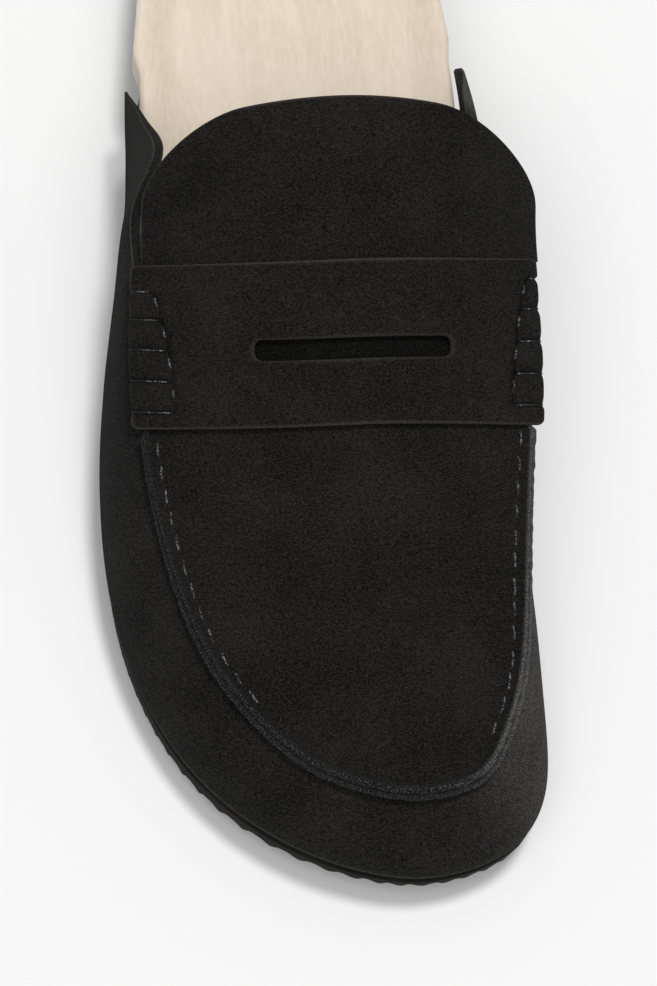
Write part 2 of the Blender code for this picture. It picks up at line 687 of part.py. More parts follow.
def seat_on_origin(pieces):
    """Move every piece so that the origin is the middle of the shoe's box, on the floor."""
    corners = np.array([vertex.co for piece in pieces for vertex in piece.data.vertices])
    low = corners.min(axis=0)
    high = corners.max(axis=0)
    shift = Vector((0.5 * (low[0] + high[0]), 0.5 * (low[1] + high[1]), low[2]))
    for piece in pieces:
        for vertex in piece.data.vertices:
            vertex.co -= shift


def main():
    for old in list(bpy.data.objects):
        bpy.data.objects.remove(old, do_unlink=True)
    rubber = material("black_rubber", (0.012, 0.012, 0.011), 0.55)
    suede = material("black_suede", (0.016, 0.015, 0.015), 0.95)
    lining = material("beige_suede", (0.76, 0.66, 0.54), 0.92)
    pieces = [
        outsole(rubber),
        footbed(lining),
        upper(suede),
        tongue(suede),
        strap(suede),
        strap_roll("strap_roll_lateral", -1.0, STRAP_ENDS[0], suede),
        strap_roll("strap_roll_medial", 1.0, STRAP_ENDS[1], suede),
    ]
    seat_on_origin(pieces)


main()
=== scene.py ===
"""Looks of the loafer mule: a right shoe in black suede with a hand-sewn moccasin toe, a slotted
saddle strap with whipped ends, a beige suede footbed and a notched black sole."""

import math
from collections import namedtuple

import bmesh
import bpy
import numpy as np
from mathutils import Matrix, Vector


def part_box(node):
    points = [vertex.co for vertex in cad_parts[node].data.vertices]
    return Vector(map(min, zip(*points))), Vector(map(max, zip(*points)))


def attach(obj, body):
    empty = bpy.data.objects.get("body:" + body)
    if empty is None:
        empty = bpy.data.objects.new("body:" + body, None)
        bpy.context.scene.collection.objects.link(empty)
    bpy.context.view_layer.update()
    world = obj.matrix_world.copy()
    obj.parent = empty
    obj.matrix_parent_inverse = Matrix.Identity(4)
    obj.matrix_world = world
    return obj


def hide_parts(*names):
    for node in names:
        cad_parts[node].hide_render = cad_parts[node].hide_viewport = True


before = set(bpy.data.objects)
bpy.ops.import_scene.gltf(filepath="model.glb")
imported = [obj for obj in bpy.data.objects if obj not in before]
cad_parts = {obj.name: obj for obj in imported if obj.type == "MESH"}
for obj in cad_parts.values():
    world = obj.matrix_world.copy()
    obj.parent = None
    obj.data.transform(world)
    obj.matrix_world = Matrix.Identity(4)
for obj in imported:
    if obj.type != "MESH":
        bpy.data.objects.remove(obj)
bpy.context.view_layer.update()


# Stage
# A white paper sweep. A small light stands almost overhead, a wide soft one behind the camera,
# which looks down on the toe. The picture is 657 by 986.

TARGET = np.array([-0.00125, -0.05515, 0.04500])
CAMERA_ELEVATION = math.radians(68.0)
CAMERA_AZIMUTH = math.radians(-14.0)
CAMERA_ROLL = math.radians(10.0)
CAMERA_DISTANCE = 1.0
PIXELS_PER_METRE = 4250.0
LONG_SIDE_PIXELS = 986.0
SENSOR = 36.0
CLIP_START = 0.05
FLOOR_REACH = 4.0
PAPER_TONE = (0.84, 0.84, 0.84, 1.0)
SKY_TONE = (1.0, 1.0, 1.0, 1.0)
SKY_STRENGTH = 0.24
KEY_STRENGTH = 1.56
KEY_ANGLE = math.radians(9.5)
KEY_DIRECTION = (0.11, 0.08, 1.00)
FILL_STRENGTH = 1.36
FILL_ANGLE = math.radians(50.0)


class Value:
    """A socket of a material, with the operators of Python: each of them adds a Math node."""

    def __init__(self, finish, socket):
        self.finish = finish
        self.socket = socket

    def combine(self, operation, first, second):
        """Math node of that operation on two values."""
        return self.finish.value("ShaderNodeMath", {"operation": operation}, {0: first, 1: second})

    def __add__(self, other):
        return self.combine("ADD", self, other)

    def __radd__(self, other):
        return self.combine("ADD", other, self)

    def __mul__(self, other):
        return self.combine("MULTIPLY", self, other)

    def __rmul__(self, other):
        return self.combine("MULTIPLY", other, self)


class Finish:
    """A material in the making: one shader and the nodes that feed it."""

    def __init__(self, name):
        self.material = bpy.data.materials.new(name)
        self.material.use_nodes = True
        self.tree = self.material.node_tree
        self.tree.nodes.clear()
        self.shader = self.node("ShaderNodeBsdfPrincipled")
        self.node("ShaderNodeOutputMaterial", {}, {"Surface": self.shader.outputs[0]})

    def node(self, kind, settings=None, inputs=None):
        """New node of that kind, its settings set first and then its sockets fed."""
        made = self.tree.nodes.new(kind)
        for name, setting in (settings or {}).items():
            setattr(made, name, setting)
        for name, given in (inputs or {}).items():
            self.feed(made.inputs[name], given)
        return made

    def feed(self, socket, given):
        """Link a socket to a value, or set it to a number or colour."""
        if isinstance(given, Value):
            given = given.socket
        if isinstance(given, bpy.types.NodeSocket):
            self.tree.links.new(given, socket)
        else:
            socket.default_value = given

    def value(self, kind, settings=None, inputs=None, output=0):
        """One output of a new node, to be reckoned with."""
        return Value(self, self.node(kind, settings, inputs).outputs[output])

    def surface(self, inputs):
        """Feed the shader's sockets by their names."""
        for name, given in inputs.items():
            self.feed(self.shader.inputs[name], given)

    def mark(self, name):
        """The piece's own attribute of that name."""
        return self.value("ShaderNodeAttribute", {"attribute_name": name}, {}, 2)

    def place(self, stretch=(1.0, 1.0, 1.0)):
        """Object coordinates, multiplied by stretch along each axis."""
        plain = self.value("ShaderNodeTexCoord", {}, {}, 3)
        return self.value("ShaderNodeVectorMath", {"operation": "MULTIPLY"}, {0: plain, 1: stretch})

    def noise(self, scale, detail=2.0, stretch=(1.0, 1.0, 1.0), roughness=0.5):
        """Noise round 0.5, with scale waves to the metre."""
        return self.value("ShaderNodeTexNoise", {}, {"Vector": self.place(stretch), "Scale": scale,
                                                     "Detail": detail, "Roughness": roughness})

    def between(self, value, low, high):
        """Smooth step of a value from 0 at low to 1 at high."""
        return self.value("ShaderNodeMapRange", {"interpolation_type": "SMOOTHSTEP"},
                          {0: value, 1: low, 2: high})

    def blend(self, share, first, second):
        """Colour that runs from first to second as share runs from 0 to 1."""
        return self.value("ShaderNodeMix", {"data_type": "RGBA"}, {0: share, 6: first, 7: second}, 2)

    def bump(self, height, distance, strength=1.0, over=None):
        """Normal bent by a height of 0 to 1 that stands for distance metres."""
        inputs = {"Height": height, "Distance": distance, "Strength": strength}
        if over is not None:
            inputs["Normal"] = over
        return self.value("ShaderNodeBump", {}, inputs)


def shown(name, data):
    """New object of that name and data, in the scene."""
    made = bpy.data.objects.new(name, data)
    bpy.context.scene.collection.objects.link(made)
    return made


paper = Finish("paper")
paper.surface({"Base Color": PAPER_TONE, "Roughness": 0.95, "Specular IOR Level": 0.0})
floor_mesh = bpy.data.meshes.new("floor")
corners = [(FLOOR_REACH * x, FLOOR_REACH * y, 0.0) for x, y in ((-1, -1), (1, -1), (1, 1), (-1, 1))]
floor_mesh.from_pydata(corners, [], [(0, 1, 2, 3)])
floor_mesh.materials.append(paper.material)
shown("floor", floor_mesh)

world = bpy.data.worlds.new("studio")
world.use_nodes = True
sky = world.node_tree.nodes["Background"]
sky.inputs["Color"].default_value = SKY_TONE
sky.inputs["Strength"].default_value = SKY_STRENGTH
bpy.context.scene.world = world
bpy.context.scene.view_settings.view_transform = "Standard"


def soft_light(name, strength, angle, direction):
    """Distant light that shines from a direction, as wide as an angle of the sky."""
    light = bpy.data.lights.new(name, "SUN")
    light.energy = strength
    light.angle = angle
    shown(name, light).rotation_euler = Vector(direction).to_track_quat("Z", "Y").to_euler()


back = np.array([math.cos(CAMERA_ELEVATION) * math.sin(CAMERA_AZIMUTH),
                 -math.cos(CAMERA_ELEVATION) * math.cos(CAMERA_AZIMUTH),
                 math.sin(CAMERA_ELEVATION)])
level = np.cross([0.0, 0.0, 1.0], back)
level = level / np.linalg.norm(level)
upright = np.cross(back, level)
right = level * math.cos(CAMERA_ROLL) + upright * math.sin(CAMERA_ROLL)
above = upright * math.cos(CAMERA_ROLL) - level * math.sin(CAMERA_ROLL)
camera = bpy.data.cameras.new("camera")
camera.sensor_width = SENSOR
camera.lens = PIXELS_PER_METRE * CAMERA_DISTANCE * SENSOR / LONG_SIDE_PIXELS
camera.clip_start = CLIP_START
camera_object = shown("camera", camera)
frame_of_view = np.eye(4)
frame_of_view[:3] = np.column_stack([right, above, back, TARGET + back * CAMERA_DISTANCE])
camera_object.matrix_world = Matrix(frame_of_view.tolist())
bpy.context.scene.camera = camera_object
soft_light("key_light", KEY_STRENGTH, KEY_ANGLE, KEY_DIRECTION)
soft_light("fill_light", FILL_STRENGTH, FILL_ANGLE, back)


# Outsole
# Moulded black rubber: a ledge that the upper stands on, a smooth side, a lower edge cut into
# notches, and cross bars underneath. It is cemented to the upper and the footbed.

SHOE_LENGTH = 0.286
BALL_WIDTH = 0.104
TOE_SPRING = 0.009
SPRING_LENGTH = 0.072
ARCH_RISE = 0.0035
ARCH_FRONT = 0.118
ARCH_BACK = 0.198
SOLE_AT_TOE = 0.0070
SOLE_AT_BALL = 0.0118
SOLE_AT_HEEL = 0.0262
SOLE_REAR_INSET = 0.0036
NOTCH_DEPTH = 0.0022
NOTCH_INSET = 0.0009
NOTCH_RISE = 0.62
NOTCH_BAND = 1.3
NOTCHES_A_SIDE = 62
BLUNT_AT_TOE = 0.70
BLUNT_SHARE = 0.13
LOWER_EDGE_INSET = 0.0022
BAR_DEPTH = 0.0020
BAR_PITCH = 0.0142
BARS_START = (0.065, 0.080)
BARS_END = (0.940, 0.955)
BAR_FADE = 0.002
TREAD_ROWS = 34
SOLE_STATIONS = 497

# Half outline of the last in plan, from the toe tip to the middle of the heel: along is a share
# of SHOE_LENGTH, lateral and medial are shares of BALL_WIDTH from the axis.
OUTLINE = np.array([
    # along, lateral, medial
    (0.000, 0.130, 0.130),
    (0.008, 0.000, 0.260),
    (0.030, -0.142, 0.360),
    (0.070, -0.291, 0.417),
    (0.130, -0.417, 0.427),
    (0.215, -0.505, 0.424),
    (0.315, -0.534, 0.411),
    (0.420, -0.513, 0.398),
    (0.500, -0.472, 0.390),
    (0.560, -0.446, 0.387),
    (0.609, -0.436, 0.386),
    (0.654, -0.428, 0.386),
    (0.710, -0.418, 0.382),
    (0.797, -0.386, 0.356),
    (0.882, -0.350, 0.322),
    (0.948, -0.272, 0.243),
    (0.988, -0.148, 0.120),
    (1.000, -0.014, -0.014),
])
HEEL_ROW = len(OUTLINE) - 1
# The sole's upper face: shares of the length, and of the rise from the ball to the heel.
SOLE_PROFILE = np.array([
    (0.00, 0.00), (0.09, 0.00), (0.21, -0.02), (0.33, 0.04), (0.46, 0.26), (0.60, 0.66), (0.72, 0.90),
    (0.86, 0.98), (1.00, 1.00),
])
# Section of the ledge that the upper stands on: below the upper face, inside the outline.
LEDGE = (
    (0.0, 0.0036), (0.0, 0.0010), (0.0003, 0.0007), (0.0012, 0.0007), (0.0021, 0.0007),
    (0.0025, 0.0004), (0.0031, 0.0000),
)


def spline(rows, at):
    """Natural cubic spline through equally spaced rows, read at places counted in rows."""
    rows = np.asarray(rows, dtype=float)
    count = len(rows)
    system = np.eye(count) * 4.0 + np.eye(count, k=1) + np.eye(count, k=-1)
    system[0] = system[-1] = 0.0
    system[0, 0] = system[-1, -1] = 1.0
    change = np.zeros_like(rows)
    change[1:-1] = 6.0 * (rows[:-2] - 2.0 * rows[1:-1] + rows[2:])
    bend = np.linalg.solve(system, change)
    at = np.asarray(at, dtype=float)
    low = np.clip(np.floor(at).astype(int), 0, count - 2)
    t = at - low
    if rows.ndim > 1:
        t = t[..., None]
    s = 1.0 - t
    straight = s * rows[low] + t * rows[low + 1]
    return straight + ((s ** 3 - s) * bend[low] + (t ** 3 - t) * bend[low + 1]) / 6.0


def step(value, start, end):
    """Smooth step: 3 t squared less 2 t cubed, of the share t of the way from start to end."""
    t = np.clip((value - start) / (end - start), 0.0, 1.0)
    return t * t * (3.0 - 2.0 * t)


def band(value, start, full, fade, end):
    """Smooth step up from start to full, times what a smooth step from fade to end leaves of 1."""
    return step(value, start, full) * (1.0 - step(value, fade, end))


def unit(vectors):
    """Vectors divided by their lengths."""
    return vectors / np.maximum(np.linalg.norm(vectors, axis=-1, keepdims=True), 1e-12)


def around(lateral, medial):
    """Lateral rows backwards, then the medial ones: one run round the toe."""
    return np.concatenate([lateral[::-1], medial[1:]])


plan = OUTLINE * np.array([SHOE_LENGTH, BALL_WIDTH, BALL_WIDTH])
whole_outline = around(plan[:, [1, 0]], plan[:, [2, 0]])
whole_outline = np.concatenate([whole_outline[-4:-1], whole_outline, whole_outline[1:4]])


def outline(place, inset=0.0):
    """Spline through the outline, moved inwards by inset, and its outward direction. Place runs
    from -HEEL_ROW on the lateral side through 0 at the toe tip to HEEL_ROW on the medial side."""
    index = np.asarray(place) + HEEL_ROW + 3.0
    point = spline(whole_outline, index)
    run = unit(spline(whole_outline, index + 0.01) - spline(whole_outline, index - 0.01))
    outward = np.stack([run[..., 1], -run[..., 0]], axis=-1)
    return point - outward * np.asarray(inset)[..., None], outward


def distance_along(points):
    """Sum of the lengths of the steps up to each point of a line."""
    return np.concatenate([[0.0], np.cumsum(np.linalg.norm(np.diff(points, axis=0), axis=1))])


def even_places(start, end, count):
    """Places on the outline from start to end at equal distances along it."""
    fine = np.linspace(start, end, 2400)
    run = distance_along(outline(fine)[0])
    return np.interp(np.linspace(0.0, run[-1], count), run, fine)


# The CAD nodes lie with the middle of the shoe's box at the origin: this moves the last there.
fine_outline, _ = outline(np.linspace(-HEEL_ROW, HEEL_ROW, 8000))
sole_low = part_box("outsole")[0]
SEAT = np.array([sole_low[0] - fine_outline[:, 0].min(), sole_low[1] - fine_outline[:, 1].min(), 0.0])


def two_sides(count, inset):
    """Lateral and medial points of the outline at equal distances from the toe to the heel, moved
    inwards by inset(along, side), where both sides end in the point midway between their ends."""
    sides = []
    for side in (-1.0, 1.0):
        places = side * even_places(0.0, HEEL_ROW, count)
        plain, _ = outline(places)
        sides.append(outline(places, inset(plain[:, 1], side))[0])
    joined = 0.5 * (sides[0][[0, -1]] + sides[1][[0, -1]])
    sides[0][[0, -1]] = joined
    sides[1][[0, -1]] = joined
    return sides


def underside(along):
    """Toe spring as a power curve, then level but for the arch, a squared sine."""
    spring = TOE_SPRING * np.clip(1.0 - along / SPRING_LENGTH, 0.0, 1.0) ** 1.8
    arch = np.clip((along - ARCH_FRONT) / (ARCH_BACK - ARCH_FRONT), 0.0, 1.0)
    return spring + ARCH_RISE * np.sin(np.pi * arch) ** 2


def sole_top(along):
    """Spline through the heights of SOLE_PROFILE, of which the first two rise to the toe."""
    toe = TOE_SPRING + SOLE_AT_TOE
    heights = SOLE_AT_BALL + (SOLE_AT_HEEL - SOLE_AT_BALL) * SOLE_PROFILE[:, 1]
    heights[:2] = (toe, 0.55 * toe + 0.45 * SOLE_AT_BALL)
    fine = np.linspace(0.0, len(heights) - 1.0, 2000)
    return np.interp(along, spline(SOLE_PROFILE[:, 0] * SHOE_LENGTH, fine), spline(heights, fine))


def cells(rows, columns, closed=False):
    """Four-cornered faces of a grid of points; a closed grid joins its last column to its first."""
    i = np.arange(rows - 1)[:, None]
    j = np.arange(columns if closed else columns - 1)[None, :]
    a = i * columns + j
    b = i * columns + (j + 1) % columns
    return np.stack([a, b, b + columns, a + columns], axis=-1).reshape(-1, 4)


def piece(name, points, faces, finish, nodes, marks=None, crease=55.0):
    """Mesh of points and faces, doubled points merged and faces turned outwards, as a piece of
    the shoe that stands for CAD nodes. Marks are numbers kept point by point for the material."""
    mesh = bpy.data.meshes.new(name)
    mesh.from_pydata((points.reshape(-1, 3) + SEAT).tolist(), [], faces.tolist())
    for mark, numbers in (marks or {}).items():
        layer = mesh.attributes.new(mark, "FLOAT", "POINT")
        layer.data.foreach_set("value", np.asarray(numbers, dtype=np.float32).ravel())
    work = bmesh.new()
    work.from_mesh(mesh)
    bmesh.ops.remove_doubles(work, verts=work.verts, dist=0.000002)
    bmesh.ops.recalc_face_normals(work, faces=work.faces)
    work.to_mesh(mesh)
    work.free()
    mesh.shade_smooth()
    mesh.set_sharp_from_angle(angle=math.radians(crease))
    mesh.materials.append(finish.material)
    made = shown(name, mesh)
    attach(made, "root")
    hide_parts(*nodes)


def screen_colour(red, green, blue):
    """Linear colour of a screen colour of 0 to 255: each channel raised to about 2.4."""
    screen = np.array([red, green, blue]) / 255.0
    linear = np.where(screen <= 0.04045, screen / 12.92, ((screen + 0.055) / 1.055) ** 2.4)
    return (*linear.tolist(), 1.0)


rubber = Finish("moulded_rubber")
grit = rubber.noise(1800.0, 3.0)
scuff = rubber.noise(90.0, 3.0)
rubber.surface({
    "Base Color": rubber.blend(rubber.between(scuff, 0.35, 0.75), screen_colour(15, 14, 13),
                               screen_colour(27, 26, 24)),
    "Roughness": 0.66 + 0.16 * scuff,
    "Specular IOR Level": 0.10,
    "Normal": rubber.bump(grit, 0.00012, 0.5),
})

stations = np.arange(SOLE_STATIONS)
tooth = stations * NOTCHES_A_SIDE / (SOLE_STATIONS - 1.0)
skew = tooth % 1.0
wave = np.where(skew < NOTCH_RISE, 0.5 - 0.5 * np.cos(np.pi * skew / NOTCH_RISE),
                0.5 + 0.5 * np.cos(np.pi * (skew - NOTCH_RISE) / (1.0 - NOTCH_RISE)))
uneven = np.random.default_rng(4).uniform(0.72, 1.0, NOTCHES_A_SIDE + 1)
notch = wave * uneven[np.floor(tooth).astype(int)]
notch = notch * (1.0 - BLUNT_AT_TOE * np.exp(-(stations / (BLUNT_SHARE * SOLE_STATIONS)) ** 2))
notch[[0, -1]] = 0.0


def sole_rear(along, side):
    """The sole steps in by SOLE_REAR_INSET behind the wings, where only the footbed stands on it."""
    return SOLE_REAR_INSET * step(along, 0.64 * SHOE_LENGTH, 0.74 * SHOE_LENGTH)


def sole_ring(height, extra):
    """Both sides of one ring of the sole, height a function of along, inset by extra."""
    pair = two_sides(SOLE_STATIONS, lambda along, side: sole_rear(along, side) + extra)
    return [np.column_stack([point, height(point[:, 1])]) for point in pair]


# The side from top to bottom: the ledge, the smooth side, the notches and the lower edge.
side_rings = []
for drop, extra in LEDGE:
    side_rings.append(sole_ring(lambda along: sole_top(along) - drop, extra))
for share in np.linspace(0.12, 1.0, 7):
    side_rings.append(sole_ring(
        lambda along: (1.0 - share) * (sole_top(along) - LEDGE[-1][0])
        + share * (underside(along) + NOTCH_DEPTH * NOTCH_BAND), 0.0))
for share in (0.30, 0.60, 0.85, 1.0):
    side_rings.append(sole_ring(
        lambda along: underside(along) + NOTCH_DEPTH * (NOTCH_BAND + (notch - NOTCH_BAND) * share),
        NOTCH_INSET * (0.3 + notch) * share ** 1.5))
for share in (0.35, 0.70, 1.0):
    side_rings.append(sole_ring(
        lambda along: underside(along) + NOTCH_DEPTH * notch * (1.0 - share) ** 1.4,
        NOTCH_INSET * (0.3 + notch) * (1.0 - share) + LOWER_EDGE_INSET * share))
sole_lateral = [ring[0] for ring in side_rings]
sole_medial = [ring[1] for ring in side_rings]
treads = []
for share in np.linspace(0.98, -0.98, TREAD_ROWS):
    mix = 0.5 + 0.5 * share
    point = sole_lateral[-1] * (1.0 - mix) + sole_medial[-1] * mix
    along = point[:, 1]
    treaded = band(along / SHOE_LENGTH, *BARS_START, *BARS_END)
    treaded = treaded * (1.0 - step(along, ARCH_FRONT - BAR_FADE, ARCH_FRONT + BAR_FADE)
                         + step(along, ARCH_BACK - BAR_FADE, ARCH_BACK + BAR_FADE))
    bars = step(np.sin(2.0 * np.pi * along / BAR_PITCH), -0.28, 0.28)
    channel = 1.0 - step(abs(share), 0.05, 0.09)
    inside = 1.0 - step(abs(share), 0.80, 0.86)
    depth = BAR_DEPTH * treaded * inside * np.maximum(bars, channel)
    treads.append(np.column_stack([point[:, :2], underside(along) + depth]))
sole_middle = 0.5 * (sole_lateral[0] + sole_medial[0])
sole_loop = np.stack([sole_middle] + sole_medial + treads + sole_lateral[::-1], axis=1)
piece("outsole_moulded", sole_loop, cells(*sole_loop.shape[:2], closed=True), rubber,
      ["outsole"], crease=48.0)


# Footbed
# A moulded footbed wrapped in beige suede: flat in the middle, with a rim that rises towards the
# heel and a soft crease at the foot of the rim on either side.

GAP = 0.0003
FOOTBED_AT_TOE = 0.0045
FOOTBED_AT_HEEL = 0.0062
FOOTBED_EDGE_DROP = 0.0012
FOOTBED_EDGE_SHARE = 0.05
RIM_AT_TOE = 0.0004
RIM_AT_HEEL = 0.0042
CUP_START = 0.70
WALL = 0.0022
SIDE_CLEARANCE = 0.0009
REAR_INSET_LATERAL = 0.0008
REAR_INSET_MEDIAL = 0.0019
TIP_ROW = 12
CREASE_SHARE = 0.63
CREASE_DEPTH = 0.00030
CREASE_WIDTH = 0.018
FOOTBED_STATIONS = 321


def footbed_inset(along, side):
    """Inside the upper's wall in front of the wing tips, and wider behind them."""
    rear = REAR_INSET_LATERAL if side < 0.0 else REAR_INSET_MEDIAL
    tip = OUTLINE[TIP_ROW, 0] * SHOE_LENGTH
    behind = step(along, tip + 0.0005, tip + 0.0090)
    return (WALL + SIDE_CLEARANCE) * (1.0 - behind) + rear * behind


bed_lateral, bed_medial = two_sides(FOOTBED_STATIONS, footbed_inset)
bed_top = []
edge_shares = 1.0 - FOOTBED_EDGE_SHARE * np.linspace(0.0, 1.0, 7) ** 1.6
bed_shares = np.concatenate([-edge_shares, np.linspace(-0.92, 0.92, 61), edge_shares[::-1]])
for share in bed_shares:
    mix = 0.5 + 0.5 * share
    point = bed_lateral * (1.0 - mix) + bed_medial * mix
    along = point[:, 1] / SHOE_LENGTH
    heel = step(along, 0.30, 0.80)
    thick = FOOTBED_AT_TOE + (FOOTBED_AT_HEEL - FOOTBED_AT_TOE) * heel
    rim = RIM_AT_TOE * step(along, 0.03, 0.10) + (RIM_AT_HEEL - RIM_AT_TOE) * heel
    cup = np.maximum(step(abs(share), CUP_START, 0.98), step(along, 0.90, 0.995))
    edge = (abs(share) - 1.0 + FOOTBED_EDGE_SHARE) / FOOTBED_EDGE_SHARE
    edge = FOOTBED_EDGE_DROP * max(0.0, edge) ** 2.4
    crease = CREASE_DEPTH * math.exp(-((abs(share) - CREASE_SHARE) / CREASE_WIDTH) ** 2)
    height = thick + rim * cup - edge - crease * band(along, 0.35, 0.50, 0.86, 0.93)
    bed_top.append(np.column_stack([point, sole_top(point[:, 1]) + GAP + height]))
bed_under = [np.column_stack([side, sole_top(side[:, 1]) + GAP]) for side in (bed_medial, bed_lateral)]
bed_under.insert(1, 0.5 * (bed_under[0] + bed_under[1]))
bed_loop = np.stack(bed_top + bed_under, axis=1)

beige = Finish("beige_suede")
nap = beige.noise(900.0, 3.0, (1.0, 0.25, 1.0), 0.6)
streak = beige.noise(160.0, 2.0, (1.0, 0.10, 1.0))
cloud = beige.noise(28.0, 2.0)
beige_tone = beige.blend(beige.between(0.55 * nap + 0.45 * streak, 0.36, 0.66),
                         screen_colour(211, 197, 178), screen_colour(223, 210, 192))
beige.surface({
    "Base Color": beige.blend(beige.between(cloud, 0.40, 0.70) * 0.45, beige_tone,
                              screen_colour(224, 212, 196)),
    "Roughness": 0.93,
    "Specular IOR Level": 0.12,
    "Sheen Weight": 0.10,
    "Sheen Roughness": 0.5,
    "Normal": beige.bump(nap, 0.00010, 0.45),
})
piece("footbed_covered", bed_loop, cells(*bed_loop.shape[:2], closed=True), beige,
      ["footbed"], crease=60.0)


# Upper: skirt
# Black suede, about 2 mm thick, pulled over the last from one wing tip round the toe to the other.
# Its raw upper edge stands up as the outer half of the moccasin seam and runs on as the free edge
# of the quarters.

INSTEP_HEIGHT = 0.078
WALL_AT_TIP = 0.0007
SKIVED_LATERAL = 1.4
SKIVED_MEDIAL = 2.2
SKIRT_BULGE = 0.0036
HANDLE_PUSH = 1.3
LOW_HANDLE = 0.42
HIGH_HANDLE = 0.20
HIGH_HANDLE_LEAN = 0.22
PLUG_END_ROW = 7.45
STRAP_FRONT_ROW = 6.45
STITCH_PITCH = 0.0060
PUCKER = 0.00010
TUCK = 0.0005
RAGGED_DEPTH = 0.00010
RAGGED_LENGTH = 0.004
RAW_BREADTH = 0.0029
SEAM_HEIGHT = 0.0029
PRESSED_HEIGHT = 0.0007
EDGE_ROUNDING = 0.0004
SKIRT_COLUMNS = 640
TIP_LENGTH_IN_ROWS = 0.75
TIP_LEFT = 0.10
TIP_POWER_LATERAL = 2.6
TIP_POWER_MEDIAL = 1.7
MEDIAL_TIP_EXTRA = 0.15
# Where the instep's slope is read for its sides: this far from the toe and from the crown.
NEAR_TOE = 0.35
NEAR_SEAM = 0.97
# Share of painted light that pales the medial side.
PAINTED_LIGHT_SHARE = 0.85

# Rows go with OUTLINE. Alongs are shares of SHOE_LENGTH, acrosses of BALL_WIDTH, ups of
# INSTEP_HEIGHT: the two sides of the instep run along the seam, the crown is its middle line.
INSTEP = np.array([
    # lateral along, across, up, medial along, across, up, crown along, up
    (0.053, 0.130, 0.440, 0.053, 0.130, 0.440, 0.138, 0.519),
    (0.058, 0.034, 0.441, 0.058, 0.215, 0.442, 0.144, 0.527),
    (0.075, -0.084, 0.446, 0.072, 0.274, 0.446, 0.156, 0.541),
    (0.106, -0.190, 0.459, 0.103, 0.321, 0.461, 0.176, 0.563),
    (0.162, -0.305, 0.487, 0.151, 0.363, 0.492, 0.206, 0.598),
    (0.232, -0.380, 0.528, 0.224, 0.387, 0.545, 0.249, 0.650),
    (0.318, -0.426, 0.592, 0.308, 0.409, 0.618, 0.307, 0.725),
    (0.418, -0.442, 0.662, 0.403, 0.434, 0.682, 0.389, 0.838),
    (0.506, -0.432, 0.730, 0.498, 0.438, 0.735, 0.477, 0.962),
    (0.556, -0.424, 0.800, 0.550, 0.447, 0.790, 0.538, 1.054),
    (0.597, -0.420, 0.870, 0.595, 0.452, 0.850, 0.592, 1.132),
])
# The free edge of the quarters, on from the eighth row, with the first six columns of INSTEP.
TOPLINE = np.array([
    (0.506, -0.446, 0.690, 0.500, 0.435, 0.670),
    (0.554, -0.437, 0.735, 0.552, 0.424, 0.692),
    (0.584, -0.388, 0.845, 0.592, 0.376, 0.765),
    (0.632, -0.398, 0.690, 0.640, 0.365, 0.665),
    (0.698, -0.418, 0.480, 0.702, 0.376, 0.465),
])
# How far the skirt bulges out, lateral and medial, in shares of SKIRT_BULGE.
BULGE = np.array([
    (0.78, 0.78), (0.78, 0.78), (0.78, 0.78), (0.78, 0.72), (0.81, 0.61), (0.94, 0.50), (1.00, 0.33),
    (0.92, 0.28), (0.72, 0.28), (0.53, 0.33), (0.44, 0.44), (0.36, 0.56), (0.22, 0.33),
])
# Soft troughs that wear pressed into the skirt: the place, how far it leans along the shoe, its
# width in rows, the height share and the height of its middle, and its depth.
TROUGHS = (
    (-6.75, 0.55, 0.22, 0.58, 0.30, 0.00035),
    (-5.75, 0.60, 0.26, 0.62, 0.28, 0.00030),
    (-4.55, 0.40, 0.24, 0.55, 0.25, 0.00018),
    (6.20, 0.45, 0.24, 0.60, 0.30, 0.00028),
    (5.20, 0.40, 0.24, 0.60, 0.28, 0.00018),
)
# The two raw edges of the seam together: their breadth row by row from the toe, in shares of
# RAW_BREADTH.
SEAM_BREADTH = np.array([
    # lateral, medial
    (0.90, 0.90), (0.94, 0.90), (0.97, 0.90), (1.00, 0.87), (0.97, 0.78), (0.80, 0.58), (0.55, 0.48),
    (0.44, 0.44),
])
# Section of the outer raw edge, from its foot over its top to the groove beside the inner one:
# outwards in shares of half the breadth, upwards in shares of the seam's height.
OUTER_RIDGE = (
    (0.15, 0.00), (0.35, 0.16), (0.62, 0.34), (0.86, 0.56), (1.00, 0.78), (0.98, 0.91), (0.84, 0.985),
    (0.58, 1.00), (0.34, 0.95), (0.18, 0.955), (0.07, 0.89), (0.03, 0.78),
)
OUTER_RIDGE_BACK = ((0.03, 0.55), (0.03, 0.28), (0.02, 0.00), (0.02, -0.28))


def seam_rows(table):
    """Lateral and medial points of a table's rows, scaled to the shoe, as one run round the toe."""
    scale = np.array([BALL_WIDTH, SHOE_LENGTH, INSTEP_HEIGHT])
    return around(table[:, [1, 0, 2]] * scale, table[:, [4, 3, 5]] * scale)


instep_sides = seam_rows(INSTEP)
instep_crown = INSTEP[:, [6, 7]] * np.array([SHOE_LENGTH, INSTEP_HEIGHT])
instep_crown = around(instep_crown, instep_crown)
top_rows = seam_rows(np.concatenate([INSTEP[:TIP_ROW + 1 - len(TOPLINE), :6], TOPLINE]))


